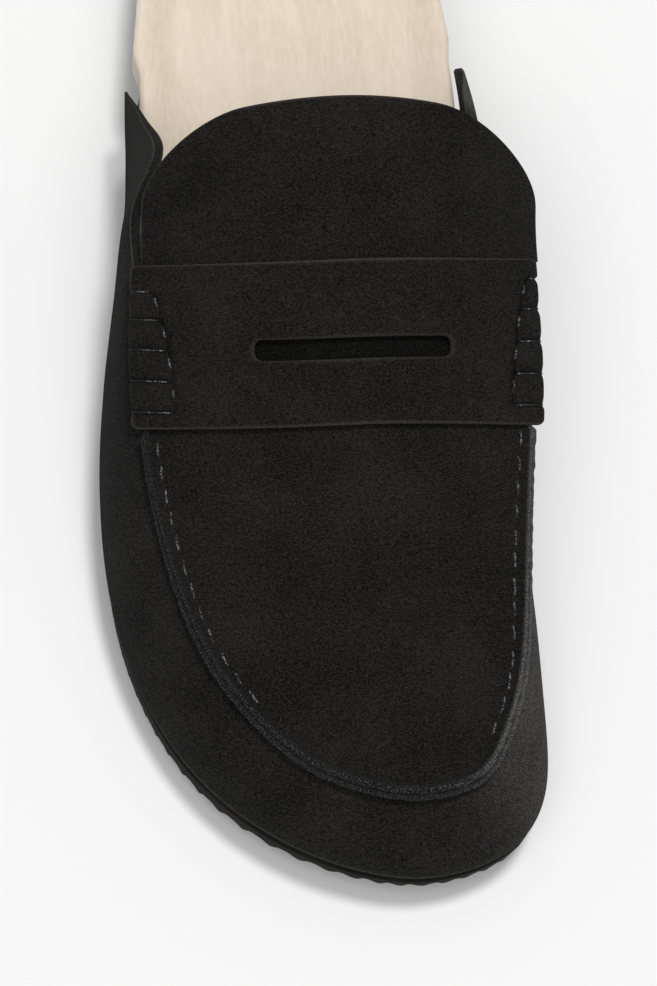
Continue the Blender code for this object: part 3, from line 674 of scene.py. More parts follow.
def instep(row, across):
    """Surface of the instep: at each row a parabola from the crown (across 0) down to the lateral
    seam (-1) and the medial seam (1), between splines through the rows."""
    row, across = np.broadcast_arrays(np.asarray(row, float), np.asarray(across, float))
    last = len(INSTEP) - 1
    lateral = spline(instep_sides, last - row)
    medial = spline(instep_sides, last + row)
    crown = spline(instep_crown, last + row)
    side = np.where(across[..., None] < 0.0, lateral, medial)
    share = np.abs(across)
    middle = 0.5 * (lateral[..., 0] + medial[..., 0])
    x = middle + (side[..., 0] - middle) * share
    y = crown[..., 0] + (side[..., 1] - crown[..., 0]) * share ** 2
    z = crown[..., 1] + (side[..., 2] - crown[..., 1]) * share ** 2
    return np.stack([x, y, z], axis=-1)


def instep_normal(row, across):
    """Upward normal of the instep: cross product of its two runs."""
    along = instep(row + 0.02, across) - instep(row - 0.02, across)
    sideways = instep(row, across + 0.02) - instep(row, across - 0.02)
    return unit(np.cross(sideways, along))


def side_of(places):
    """-1 on the lateral side and 1 on the medial side."""
    return np.where(places < 0.0, -1.0, 1.0)


def seam_frame(places):
    """Outward and upward directions square to the seam's run, and the distance run along it from
    the toe."""
    run = unit(spline(top_rows, places + TIP_ROW + 0.02) - spline(top_rows, places + TIP_ROW - 0.02))
    rise = instep_normal(np.clip(np.abs(places), NEAR_TOE, PLUG_END_ROW), side_of(places) * NEAR_SEAM)
    leaning = np.column_stack([outline(places)[1], np.zeros(len(places))])
    rise = unit(rise + 0.25 * leaning)
    rise = unit(rise - run * np.sum(rise * run, axis=-1, keepdims=True))
    outward = np.cross(rise, run)
    outward = outward * np.sign(np.sum(outward * leaning, axis=-1, keepdims=True))
    fine = np.linspace(-TIP_ROW, TIP_ROW, 4000)
    distance = distance_along(spline(top_rows, fine + TIP_ROW))
    distance = np.interp(places, fine, distance) - np.interp(0.0, fine, distance)
    return outward, rise, distance


def seam_stand(row):
    """The seam runs in under the strap and ends there, at the free edge of the quarters."""
    return 1.0 - step(row, STRAP_FRONT_ROW + 0.06, STRAP_FRONT_ROW + 0.22)


def seam_height(row):
    """Height of the seam, pressed down where it runs in under the strap."""
    pressed = step(row, STRAP_FRONT_ROW - 0.085, STRAP_FRONT_ROW - 0.005)
    return SEAM_HEIGHT + (PRESSED_HEIGHT - SEAM_HEIGHT) * pressed


def half_breadth(places):
    """Half the breadth of the two raw edges: spline through SEAM_BREADTH on either side."""
    shares = spline(SEAM_BREADTH, np.clip(np.abs(places), 0.0, len(SEAM_BREADTH) - 1.0))
    return 0.5 * RAW_BREADTH * np.where(places < 0.0, shares[:, 0], shares[:, 1])


def ragged(distance, seed):
    """Unevenness of a cut edge: sum of sine waves of seeded lengths and starts."""
    dice = np.random.default_rng(seed)
    lengths = RAGGED_LENGTH * dice.uniform(0.6, 2.2, 9)
    starts = dice.uniform(0.0, 2.0 * np.pi, 9)
    return RAGGED_DEPTH * np.sin(2.0 * np.pi * distance[:, None] / lengths + starts).sum(axis=1) / 4.0


def skirt_surface(places, heights, top):
    """Grid of points (height, place): in each column a cubic arc from the sole to the seam line,
    whose two handles are pushed outwards by the bulge, up to the share top of the arc, and the
    column's outward direction."""
    foot_plan, outward_plan = outline(places)
    foot = np.column_stack([foot_plan, sole_top(foot_plan[:, 1]) + GAP])
    outward = np.column_stack([outward_plan, np.zeros(len(places))])
    head = spline(top_rows, places + TIP_ROW)
    bulge = spline(around(BULGE[:, 0], BULGE[:, 1]), places + TIP_ROW)[:, None] * SKIRT_BULGE
    rise = (head[:, 2] - foot[:, 2])[:, None] * np.array([0.0, 0.0, 1.0])
    low_handle = foot + LOW_HANDLE * rise + HANDLE_PUSH * bulge * outward
    high_handle = head - HIGH_HANDLE * rise + HANDLE_PUSH * bulge * outward
    high_handle[:, :2] += HIGH_HANDLE_LEAN * (foot - head)[:, :2]
    t = (np.asarray(heights)[:, None] * top)[..., None]
    s = 1.0 - t
    grid = s ** 3 * foot + 3.0 * s * s * t * low_handle + 3.0 * s * t * t * high_handle + t ** 3 * head
    return grid, outward


def grid_normals(grid):
    """Normals of a grid of points: cross product of its two gradients."""
    normal = np.cross(np.gradient(grid, axis=1), np.gradient(grid, axis=0))
    return unit(normal + np.array([0.0, 0.0, 1e-12]))


def wing_top(places):
    """Share of the full height that a column keeps: at the wings' ends the root of one less a
    power of the way into the end, which is leaner on the medial side."""
    end = np.where(places < 0.0, TIP_ROW, TIP_ROW + MEDIAL_TIP_EXTRA)
    power = np.where(places < 0.0, TIP_POWER_LATERAL, TIP_POWER_MEDIAL)
    into = np.clip((np.abs(places) - end + TIP_LENGTH_IN_ROWS) / TIP_LENGTH_IN_ROWS, 0.0, 1.0)
    return TIP_LEFT + (1.0 - TIP_LEFT) * np.sqrt(1.0 - into ** power)


def with_ends(values):
    """The first and the last value once more, before and after all of them."""
    return np.concatenate([values[:1], values, values[-1:]])


def closed_ends(sections):
    """Sections of a tube, with one more at either end that is drawn together in its middle."""
    ends = [np.broadcast_to(section.mean(axis=0), section.shape) for section in sections[[0, -1]]]
    return np.concatenate([ends[:1], sections, ends[1:]])


skirt_places = even_places(-TIP_ROW, TIP_ROW + MEDIAL_TIP_EXTRA, SKIRT_COLUMNS)
skirt_row = np.abs(skirt_places)
skirt_heights = np.concatenate([[0.0, 0.012, 0.035], np.linspace(0.07, 0.94, 28), [0.965, 0.985]])
skirt_top = wing_top(skirt_places)
skirt_grid, skirt_outward = skirt_surface(skirt_places, skirt_heights, skirt_top)
skirt_normal = grid_normals(skirt_grid)
seam_outward, seam_rise, seam_distance = seam_frame(skirt_places)
seam_point = skirt_surface(skirt_places, [1.0], skirt_top)[0][0]
stand = seam_stand(skirt_row)
seam_half = half_breadth(skirt_places)
seam_up = seam_height(skirt_row)

relief = np.zeros(skirt_grid.shape[:2])
for place, lean, width, middle, height, depth in TROUGHS:
    offset = (skirt_places[None, :] - place - lean * (skirt_heights[:, None] - middle)) / width
    relief -= depth * np.exp(-offset ** 2 - ((skirt_heights[:, None] - middle) / height) ** 2)
wave = np.cos(2.0 * np.pi * seam_distance / STITCH_PITCH) * stand
relief += PUCKER * wave[None, :] * np.exp(-(1.0 - skirt_heights[:, None]) / 0.10)
tuck = TUCK * np.exp(-skirt_heights / 0.02)
skirt_outer = skirt_grid + skirt_normal * (relief - tuck[:, None])[..., None]

# The wall is skived towards the wing tips.
skived_rows = np.where(skirt_places < 0.0, SKIVED_LATERAL, SKIVED_MEDIAL)
skived = step(skirt_row, TIP_ROW - skived_rows, TIP_ROW - 0.3)
wall = (WALL + (WALL_AT_TIP - WALL) * skived)[:, None]
uneven_edge = ragged(seam_distance, 3)
ridge_rings = []
for k, (out, up) in enumerate(OUTER_RIDGE):
    turn = np.pi * k / (len(OUTER_RIDGE) - 1.0)
    uneven = uneven_edge * (up > 0.7)
    standing = (seam_point + seam_outward * (out * seam_half + uneven)[:, None]
                + seam_rise * (up * seam_up + 0.6 * uneven)[:, None])
    flat = seam_point - skirt_outward * wall * (0.5 - 0.5 * math.cos(turn))
    flat = flat + np.array([0.0, 0.0, EDGE_ROUNDING * math.sin(turn)])
    ridge_rings.append(flat + (standing - flat) * stand[:, None])
for k, (out, up) in enumerate(OUTER_RIDGE_BACK):
    standing = seam_point + seam_outward * (out * seam_half)[:, None] + seam_rise * (up * seam_up)[:, None]
    flat = seam_point - skirt_outward * wall + np.array([0.0, 0.0, -0.0003 * (k + 1)])
    ridge_rings.append(flat + (standing - flat) * stand[:, None])
inner_heights = skirt_heights[1:-3:2][::-1]
inner_grid, _ = skirt_surface(skirt_places, inner_heights, skirt_top)
inner_grid = inner_grid + grid_normals(inner_grid[::-1])[::-1] * -wall
inner_foot = skirt_grid[0] - skirt_outward * wall
skirt_rings = list(skirt_outer) + ridge_rings + list(inner_grid) + [inner_foot]
skirt_loop = closed_ends(np.stack(skirt_rings, axis=1))

# Marks for the material, ring by ring. Raw is the cut edge and the flesh side, which show fibres.
loop_count = skirt_loop.shape[1]
edge_ring = len(skirt_heights)
back_ring = edge_ring + len(OUTER_RIDGE)
raw_profile = np.zeros(loop_count)
raw_profile[edge_ring + 2:back_ring] = [0.1, 0.3, 0.8, 1.0, 1.0, 0.9, 0.6, 0.8, 0.4, 0.2]
raw_profile[back_ring + len(OUTER_RIDGE_BACK):] = 0.45
raw_profile[:2] = (0.5, 0.3)
# Painted highlights on the corners of the cut, where they catch the light: both along the free edge
# of the quarters, the outer one on the seam.
free_edge_highlight = np.zeros(loop_count)
free_edge_highlight[edge_ring - 1:edge_ring + 3] = [0.4, 1.0, 0.9, 0.1]
free_edge_highlight[edge_ring + 8:edge_ring + 12] = [0.1, 0.8, 1.0, 0.5]
seam_edge_highlight = np.zeros(loop_count)
seam_edge_highlight[edge_ring + 3:edge_ring + 6] = [0.3, 0.7, 0.4]
whole_stand = with_ends(stand)[:, None]
edge_highlight_mark = free_edge_highlight + (seam_edge_highlight - free_edge_highlight) * whole_stand
# Painted highlight on the medial wing tip.
tip_highlight = 0.8 * step(skirt_places, TIP_ROW - 1.0, TIP_ROW - 0.4)
edge_highlight_mark[1:-1, edge_ring:] += tip_highlight[:, None]
raw = raw_profile * (0.35 + 0.65 * whole_stand)
# The bend just above the sole gets a painted highlight too.
edge_highlight_mark[:, 2:6] += np.array([0.5, 0.9, 0.7, 0.2])
# Painted light: the medial side of the skirt and the medial wing tip are painted paler, for the light that
# falls on them from the medial side.
whole_places = with_ends(skirt_places)
painted_light_mark = PAINTED_LIGHT_SHARE * band(whole_places, 0.2, 4.0, 6.5, 8.5)
painted_light_mark = painted_light_mark + step(whole_places, TIP_ROW - 1.4, TIP_ROW - 0.6)
painted_light_mark = np.broadcast_to(painted_light_mark[:, None], skirt_loop.shape[:2])
# Run and across are distances along the seam and over its edge, which the fibres follow.
run_mark = np.broadcast_to(with_ends(seam_distance)[:, None], skirt_loop.shape[:2])
across_profile = np.zeros(loop_count)
across_profile[edge_ring:back_ring] = np.linspace(0.0, 2.0 * SEAM_HEIGHT, len(OUTER_RIDGE))
across_mark = np.broadcast_to(across_profile, skirt_loop.shape[:2])

suede = Finish("black_suede")
suede_nap = suede.noise(7000.0, 2.0, (0.60, 1.0, 1.0), 0.6)
suede_pile = suede.noise(3000.0, 2.0, (0.60, 1.0, 0.22))
suede_cloud = suede.noise(55.0, 3.0)
suede_raw = suede.mark("raw")
fibre = suede.value("ShaderNodeTexNoise", {"noise_dimensions": "2D"}, {
    "Vector": suede.value("ShaderNodeCombineXYZ", {}, {0: suede.mark("run") * 2300.0,
                                                       1: suede.mark("across") * 2600.0}),
    "Scale": 1.0, "Detail": 3.0, "Roughness": 0.6})
shade = 0.40 * suede_nap + 0.47 * suede_pile + 0.13 * suede_cloud
# Painted light: this mark pales the suede's dark, light and fleck colours on the medial side.
painted_light = suede.mark("painted_light")
dark = suede.blend(painted_light, screen_colour(12, 11, 11), screen_colour(44, 43, 43))
light = suede.blend(painted_light, screen_colour(42, 41, 40), screen_colour(86, 84, 83))
face = suede.blend(suede.between(shade, 0.38, 0.64), dark, light)
fleck = suede.blend(painted_light, screen_colour(78, 78, 80), screen_colour(124, 123, 122))
cut = suede.blend(suede.between(fibre + 0.05 * painted_light, 0.49, 0.66), dark, fleck)
upper_tone = suede.blend(suede_raw * suede.between(fibre + 0.25 * suede_nap, 0.30, 0.85), face, cut)
# Painted highlight: along the lit edges the suede is blended to a pale grey.
edge_highlight = suede.mark("edge_highlight") * suede.between(0.6 * suede_nap + 0.4 * fibre, 0.36, 0.62)
fuzz = suede.bump(0.6 * suede_nap + 0.4 * suede_pile, 0.00010, 0.55)
# Painted shade: the deep mark darkens the suede to near black under and beside other parts.
suede.surface({
    "Base Color": suede.blend(suede.mark("deep"), suede.blend(edge_highlight, upper_tone, screen_colour(82, 80, 78)),
                              screen_colour(3, 3, 3)),
    "Roughness": 0.95,
    "Specular IOR Level": 0.0,
    "Sheen Weight": 0.03,
    "Sheen Roughness": 0.55,
    "Normal": suede.bump(suede_raw * fibre, 0.00035, 0.8, fuzz),
})
piece("upper_skirt", skirt_loop, cells(*skirt_loop.shape[:2], closed=True), suede,
      ["upper"], {"raw": raw, "edge_highlight": edge_highlight_mark, "painted_light": painted_light_mark, "run": run_mark,
                  "across": across_mark})


# Upper: plug
# The apron over the instep, of the same suede. Its raw edge stands up beside the skirt's and is
# the inner half of the seam, so that the plug dips to a stitched foot just inside it.

PLUG_COLUMNS = 460
INNER_SHARE = 0.72
# Section of the inner raw edge, from the groove over its top: inwards in shares of half the
# breadth, upwards in shares of the seam's height. From there the plug slopes down to its foot.
INNER_RIDGE = ((0.03, 0.78), (0.08, 0.885), (0.20, 0.95), (0.36, 0.93), (0.60, 0.975), (0.84, 0.95),
               (0.97, 0.87))
SLOPE_SHARES = (0.00, 0.12, 0.26, 0.42, 0.60, 0.80, 1.00)
SLOPE_TOP = 0.80
FOOT_INWARDS = 0.0021
BESIDE_FOOT = (0.0006, 0.0014, 0.0022)
DIMPLE_DEPTH = 0.00014
DIMPLE_WIDTH = 0.0010
PLUG_SWELL = 0.00010
SWELL_INWARDS = 0.0065
SWELL_WIDTH = 0.003
PLUG_RINGS = 26
STRAP_SHADE = 0.55

plug_places = even_places(-PLUG_END_ROW, PLUG_END_ROW, PLUG_COLUMNS)
plug_row = np.abs(plug_places)
plug_side = side_of(plug_places)
plug_stand = seam_stand(plug_row)
_, plug_rise, plug_distance = seam_frame(plug_places)


def rung(row, side):
    """Distance from the seam to the crown in one row."""
    return np.linalg.norm(instep(row, side) - instep(row, np.zeros_like(side)), axis=-1)


def slope_height(share, height):
    """Height of the plug beside its raw edge: it falls as the square of the share of the way left."""
    return SLOPE_TOP * height * (1.0 - share) ** 2


plug_rung = rung(plug_row, plug_side)
plug_half = INNER_SHARE * half_breadth(plug_places)
plug_up = seam_height(plug_row)
plug_edge = ragged(plug_distance, 8)
plug_wave = np.cos(2.0 * np.pi * plug_distance / STITCH_PITCH)
plug_outer = []
plug_inner = []
sections = [(share * plug_half, up * plug_up, up > 0.7) for share, up in INNER_RIDGE]
sections += [(plug_half + (FOOT_INWARDS - plug_half) * share, slope_height(share, plug_up), False)
             for share in SLOPE_SHARES]
sections += [(FOOT_INWARDS + more + 0.0 * plug_half, 0.0 * plug_up, False) for more in BESIDE_FOOT]
groove_rings = len(INNER_RIDGE) + 2
for k, (inwards, up, top) in enumerate(sections):
    dimple = DIMPLE_DEPTH * plug_wave * np.exp(-((inwards - FOOT_INWARDS) / DIMPLE_WIDTH) ** 2)
    edge = plug_edge * top * plug_stand
    base = instep(plug_row, plug_side * (1.0 - (inwards - edge) / plug_rung))
    plug_outer.append(base + plug_rise * (((up + 0.6 * edge + dimple) * plug_stand) + 0.00005)[:, None])
    if k < groove_rings:
        deep = plug_up * (0.75 - 1.05 * k / groove_rings) * plug_stand - 0.0010 * (1.0 - plug_stand)
        plug_inner.append(instep(plug_row, plug_side * (1.0 - 0.00003 / plug_rung))
                          + plug_rise * deep[:, None])
    else:
        plug_inner.append(instep(plug_row, plug_side * (1.0 - inwards / plug_rung)) - plug_rise * WALL)
start_share = (FOOT_INWARDS + BESIDE_FOOT[-1] + 0.0010) / plug_rung
for share in np.linspace(0.0, 1.0, PLUG_RINGS):
    across = (1.0 - start_share) * (1.0 - share)
    inwards = (1.0 - across) * plug_rung
    swell = PLUG_SWELL * np.exp(-((inwards - SWELL_INWARDS) / SWELL_WIDTH) ** 2)
    normal = instep_normal(np.maximum(plug_row, NEAR_TOE), plug_side * np.minimum(across, NEAR_SEAM))
    base = instep(plug_row, plug_side * across)
    plug_outer.append(base + normal * (swell * plug_stand)[:, None])
    plug_inner.append(base - normal * WALL)
plug_outer = np.stack(plug_outer)
plug_inner = np.stack(plug_inner)
for skin in (plug_outer, plug_inner):
    skin[-1] = 0.5 * (skin[-1] + skin[-1, ::-1])


def shell_cells(rows, columns, open_sides):
    """Faces of two grids, the second behind the first, joined along the sides that are open."""
    count = rows * columns
    index = np.arange(count).reshape(rows, columns)
    skin = cells(rows, columns)
    sides = {"first_row": index[0], "last_row": index[-1, ::-1],
             "first_column": index[::-1, 0], "last_column": index[:, -1]}
    faces = [skin, skin[:, ::-1] + count]
    for name in open_sides:
        line = sides[name]
        faces.append(np.stack([line[1:], line[:-1], line[:-1] + count, line[1:] + count], axis=-1))
    return np.concatenate(faces)


plug_points = np.stack([plug_outer, plug_inner])
plug_faces = shell_cells(*plug_outer.shape[:2], ("first_row", "first_column", "last_column"))
plug_raw = np.zeros(plug_points.shape[:3])
plug_raw[0, :9] = np.array([0.2, 0.4, 0.8, 0.6, 0.9, 1.0, 0.8, 0.5, 0.2])[:, None]
plug_raw[0] *= plug_stand
plug_run = np.broadcast_to(plug_distance, plug_points.shape[:3])
plug_across = np.zeros(plug_points.shape[:3])
plug_across[0, :len(sections)] = np.linspace(0.0, 2.0 * SEAM_HEIGHT, len(sections))[:, None]
# Painted light: the plug's inner raw edge is painted paler on the medial side.
plug_painted_light = np.zeros(plug_points.shape[:3])
plug_painted_light[0, :len(INNER_RIDGE) + 1] = PAINTED_LIGHT_SHARE * step(plug_places, 0.2, 3.0)
# Under the strap the plug lies in the dark, which shows through the strap's slot.
plug_deep = STRAP_SHADE * step(plug_row, STRAP_FRONT_ROW + 0.25, STRAP_FRONT_ROW + 0.40)
plug_deep = np.broadcast_to(plug_deep, plug_points.shape[:3])
piece("upper_plug", plug_points, plug_faces, suede, ["upper"],
      {"raw": plug_raw, "painted_light": plug_painted_light, "deep": plug_deep, "run": plug_run,
       "across": plug_across})


# Moccasin stitches
# Waxed thread, sewn by hand through both raw edges. On the plug's side each stitch lies along the
# foot of the seam and dives into a hole at either end.

THREAD_RADIUS = 0.00026
HIDDEN_LATERAL = 3.40
HIDDEN_MEDIAL = 2.60
STITCH_LENGTH = 0.0044
STITCH_INWARDS = 0.0022
STITCH_WANDER = 0.0004
STITCH_SLANT = 0.00018
STITCH_DIVE = 0.00070
# How far inside the seam line the stitches lie, row by row from the toe, in shares of
# STITCH_INWARDS.
STITCH_PLACES = np.array([
    # lateral, medial
    (1.00, 1.00), (1.00, 1.00), (0.98, 0.98), (0.92, 0.88), (0.84, 0.84), (0.86, 0.94), (0.86, 0.80),
    (0.86, 0.66),
])


def thread(paths, normals):
    """Tubes along many paths at once: at each path point a ring of six points round it, whose
    radius shrinks to nothing at both ends as the root of one less the eighth power of the share."""
    count, length, _ = paths.shape
    run = unit(np.gradient(paths, axis=1))
    sideways = unit(np.cross(run, normals))
    upwards = np.cross(sideways, run)
    t = np.linspace(-1.0, 1.0, length)
    thick = THREAD_RADIUS * np.sqrt(np.clip(1.0 - t ** 8, 0.0, 1.0))
    turn = np.arange(6) * np.pi / 3.0
    ring = (sideways[:, :, None] * np.cos(turn)[:, None] + upwards[:, :, None] * np.sin(turn)[:, None])
    points = paths[:, :, None] + ring * thick[None, :, None, None]
    faces = cells(length, 6, closed=True)
    faces = (faces[None] + (np.arange(count) * length * 6)[:, None, None]).reshape(-1, 4)
    return points, faces


twine = Finish("waxed_thread")
ply = twine.noise(2600.0, 1.0)
gleam = twine.noise(700.0, 1.0)
# Painted highlights: pale flecks on the twisted thread, only where the bright mark is set.
twine.surface({
    "Base Color": twine.blend(twine.mark("bright") * twine.between(0.7 * ply + 0.3 * gleam, 0.46, 0.66),
                              screen_colour(24, 24, 25), screen_colour(126, 126, 128)),
    "Roughness": 0.55,
    "Specular IOR Level": 0.3,
    "Normal": twine.bump(ply, 0.0002, 0.6),
})

seam_fine = np.linspace(-PLUG_END_ROW, PLUG_END_ROW, 3000)
fine_distance = seam_frame(seam_fine)[2]
last_stitch = np.interp(STRAP_FRONT_ROW, seam_fine, fine_distance) - 0.5 * STITCH_LENGTH
first_stitch = np.interp(-STRAP_FRONT_ROW, seam_fine, fine_distance) + 0.5 * STITCH_LENGTH
centres = np.arange(math.ceil(first_stitch / STITCH_PITCH), last_stitch / STITCH_PITCH) * STITCH_PITCH
centres = centres + np.random.default_rng(5).uniform(-STITCH_WANDER, STITCH_WANDER, len(centres))
# Round the front of the toe the thread sinks out of sight between the raw edge and the plug.
centre_rows = np.interp(centres, fine_distance, seam_fine)
centres = centres[(centre_rows < -HIDDEN_LATERAL) | (centre_rows > HIDDEN_MEDIAL)]
t = np.linspace(-1.0, 1.0, 9)
lengths = STITCH_LENGTH * np.random.default_rng(6).uniform(0.82, 1.08, len(centres))
stitch_distance = centres[:, None] + 0.5 * lengths[:, None] * t
stitch_place = np.interp(stitch_distance, fine_distance, seam_fine).ravel()
stitch_side = side_of(stitch_place)
stitch_rise = seam_frame(stitch_place)[1]
stitch_row = np.abs(stitch_place)
stitch_share = spline(STITCH_PLACES, stitch_row)
stitch_inwards = STITCH_INWARDS * np.where(stitch_place < 0.0, stitch_share[:, 0], stitch_share[:, 1])
stitch_inwards = stitch_inwards + STITCH_SLANT * np.tile(t, len(centres)) * stitch_side
stitch_base = instep(stitch_row, stitch_side * (1.0 - stitch_inwards / rung(stitch_row, stitch_side)))
stitch_half = INNER_SHARE * half_breadth(stitch_place)
down_slope = (stitch_inwards - stitch_half) / (FOOT_INWARDS - stitch_half)
arch = slope_height(np.clip(down_slope, 0.0, 1.0), seam_height(stitch_row))
arch = arch + np.tile(THREAD_RADIUS - STITCH_DIVE * np.abs(t) ** 4, len(centres))
stitch_path = (stitch_base + stitch_rise * arch[:, None]).reshape(len(centres), len(t), 3)
stitch_points, stitch_faces = thread(stitch_path, stitch_rise.reshape(stitch_path.shape))
piece("moccasin_stitches", stitch_points, stitch_faces, twine, ["upper"],
      {"bright": np.ones(stitch_points.shape[:3])})


# Tongue
# A rounded tab of the same suede with a raw edge, sewn on behind the plug under the strap. It is
# a little wider than the throat and stands clear of the quarters.

STRAP_REAR_ROW = 7.88
TONGUE_THICKNESS = 0.0024
TONGUE_CORNER_LATERAL = 0.0260
TONGUE_CORNER_MEDIAL = 0.0280
TONGUE_TOP_ROW = 10.0
TONGUE_ROUNDING = 0.45
INSTEP_HALF_WIDTH = 0.445 * BALL_WIDTH
RAW_EDGE = 0.0011


def instep_lifted(row, across, lift):
    """Point of the instep, moved along its normal by lift."""
    row, across = np.broadcast_arrays(np.asarray(row, float), np.asarray(across, float))
    return instep(row, across) + instep_normal(row, across) * np.asarray(lift)[..., None]


def rounded(depth, radius):
    """How far a face drops at a given depth from its edge: a quarter circle of that radius."""
    return radius - np.sqrt(np.clip(radius ** 2 - (radius - np.clip(depth, 0.0, radius)) ** 2, 0.0, None))


tongue_length = np.linalg.norm(instep(TONGUE_TOP_ROW, 0.0) - instep(PLUG_END_ROW, 0.0))
tongue_start = PLUG_END_ROW + (TONGUE_TOP_ROW - PLUG_END_ROW) * 1.5 * GAP / tongue_length
corner_share = min(max(TONGUE_CORNER_LATERAL, TONGUE_CORNER_MEDIAL) / tongue_length, 0.9)
steps = np.concatenate([np.linspace(0.0, 1.0 - corner_share, 24)[:-1],
                        1.0 - corner_share * (1.0 - np.sin(np.linspace(0.0, 0.5 * np.pi, 52)))])
tongue_rows = tongue_start + (TONGUE_TOP_ROW - tongue_start) * steps
to_top = (1.0 - steps) * tongue_length


def rounding(radius):
    """How far a corner of that radius draws the edge in, as a share across: a quarter circle."""
    deep = np.clip(radius - to_top, 0.0, radius)
    return (radius - np.sqrt(radius ** 2 - deep ** 2)) / INSTEP_HALF_WIDTH


widen = step(tongue_rows, STRAP_REAR_ROW - 0.18, STRAP_REAR_ROW - 0.02)
lateral_edge = -0.965 - 0.040 * widen + rounding(TONGUE_CORNER_LATERAL)
medial_edge = 0.95 + 0.170 * widen - rounding(TONGUE_CORNER_MEDIAL)
near_edge = 0.5 * RAW_EDGE / INSTEP_HALF_WIDTH * np.linspace(0.0, 1.0, 7) ** 1.5
tongue_shares = np.concatenate([near_edge, np.linspace(0.03, 0.97, 56), 1.0 - near_edge[::-1]])
tongue_across = (lateral_edge[:, None] * (1.0 - tongue_shares) + medial_edge[:, None] * tongue_shares)
tongue_row_grid = np.broadcast_to(tongue_rows[:, None], tongue_across.shape)
to_edge = np.minimum(tongue_across - lateral_edge[:, None], medial_edge[:, None] - tongue_across)
to_edge = np.minimum(to_edge * INSTEP_HALF_WIDTH, to_top[:, None])
drop = rounded(to_edge, TONGUE_ROUNDING * TONGUE_THICKNESS)
tongue_points = np.stack([instep_lifted(tongue_row_grid, tongue_across, -drop),
                          instep_lifted(tongue_row_grid, tongue_across, drop - TONGUE_THICKNESS)])
# Painted highlight along the tongue's raw edge.
tongue_highlight = np.stack([1.0 - step(to_edge, 0.0, RAW_EDGE)] * 2) * 0.6
# Painted shade on the tongue under the strap.
tongue_deep = STRAP_SHADE * (1.0 - step(tongue_row_grid, STRAP_REAR_ROW - 0.25, STRAP_REAR_ROW - 0.10))
all_sides = ("first_row", "last_row", "first_column", "last_column")
piece("tongue_tab", tongue_points, shell_cells(*tongue_across.shape, all_sides), suede,
      ["tongue"], {"edge_highlight": tongue_highlight, "deep": np.stack([tongue_deep] * 2)})


# Strap
# A saddle strap of suede laid across the plug and the seam, with raw edges and one long slot with
# round ends. Its ends are drawn in where the thread is whipped round them.

STRAP_THICKNESS = 0.0020
STRAP_ROUNDING = 0.40
STRAP_OVERHANG = 0.0033
STRAP_SKEW = 0.0009
STRAP_LIFT = 0.00085
SLOT_LENGTH = 0.0458
SLOT_WIDTH = 0.0047
SLOT_OFFSET = 0.0032
SLOT_FORWARD = 0.0013
SLOT_END_POWER = 0.75
ROLL_SETBACK = 0.0006
ROLL_WIDTH = 0.0097
ROLL_COUNT = 4
PINCH_DEPTH = 0.0006
PINCH_WIDTH = 0.016
FOLD_DEPTH = 0.0004
CORNER_RADIUS = 0.0014
LONG_SIDE_POINTS = 150
END_POINTS = 90
CLOSE_SHARE = 0.06
ROLL_SHADE = 0.85
ROLL_SHADE_WIDTH = 0.0006
# The strap's ends, lateral then medial: how far they hang over in shares of STRAP_OVERHANG, from
# which level to which the pads reach, the pads' width in shares of ROLL_WIDTH, and how far their
# outer side is set in, in shares of ROLL_SETBACK.
StrapEnd = namedtuple("StrapEnd", "front_over rear_over start stop front_wide rear_wide front_in rear_in")
STRAP_ENDS = (
    StrapEnd(0.82, 0.21, 0.094, 0.811, 1.00, 0.50, 0.20, 0.35),
    StrapEnd(1.00, 0.73, 0.115, 0.860, 0.79, 0.30, 0.45, 1.60),
)


def whip_levels(end):
    """Levels along an end of the strap, from its front (0) to its rear (1), where the thread runs."""
    return np.linspace(end.start, end.stop, ROLL_COUNT + 1)


def strap_end(levels, end):
    """Share across the instep where an end of the strap lies."""
    over = end.front_over + (end.rear_over - end.front_over) * levels
    return 1.0 + STRAP_OVERHANG * over / INSTEP_HALF_WIDTH


def roll_width(levels, end):
    """Width of the roll at an end: it changes as the square of the share of the way to its rear."""
    share = np.clip((levels - end.start) / (end.stop - end.start), 0.0, 1.0)
    return ROLL_WIDTH * (end.front_wide + (end.rear_wide - end.front_wide) * share ** 2)


def turned(distance, radius):
    """Distance from a corner and drop off the edge, which follows an eighth of a circle there."""
    angle = 0.25 * np.pi * (1.0 - np.clip(distance / radius, 0.0, 1.0))
    near = distance < radius
    return np.where(near, radius * (1.0 - np.sin(angle)), distance), radius * (1.0 - np.cos(angle))


def set_in(levels, end):
    """Distance that the outer side of the pads lies inside the strap's end, even along the end."""
    return ROLL_SETBACK * (end.front_in + (end.rear_in - end.front_in) * levels)


def drawn_in(levels, end):
    """Distance that the strap's own edge lies inside its end: where it is folded over, and more
    at the threads, in narrow bells."""
    folded = band(levels, end.start - 0.015, end.start + 0.005, end.stop - 0.005, end.stop + 0.015)
    bells = np.exp(-((levels[:, None] - whip_levels(end)) / PINCH_WIDTH) ** 2).sum(axis=1)
    return (FOLD_DEPTH + set_in(levels, end)) * folded + PINCH_DEPTH * bells


def strap_rows(across, levels):
    """Rows of the instep under the strap, whose medial end lies STRAP_SKEW forward of the middle."""
    run = np.linalg.norm(instep(STRAP_REAR_ROW, 1.0) - instep(STRAP_FRONT_ROW, 1.0))
    askew = STRAP_SKEW / run * step(across, 0.0, 1.0)
    return STRAP_FRONT_ROW + (STRAP_REAR_ROW - STRAP_FRONT_ROW) * (levels - askew)


def strap_point(across, levels, lift):
    """Point at a share across and a level along the strap, lifted off the instep."""
    return instep_lifted(strap_rows(across, levels), across, lift)


def whole_run(long_side, end):
    """A long side and an end, then both once more, turned half round the middle."""
    return np.concatenate([long_side, end, -long_side, -end])


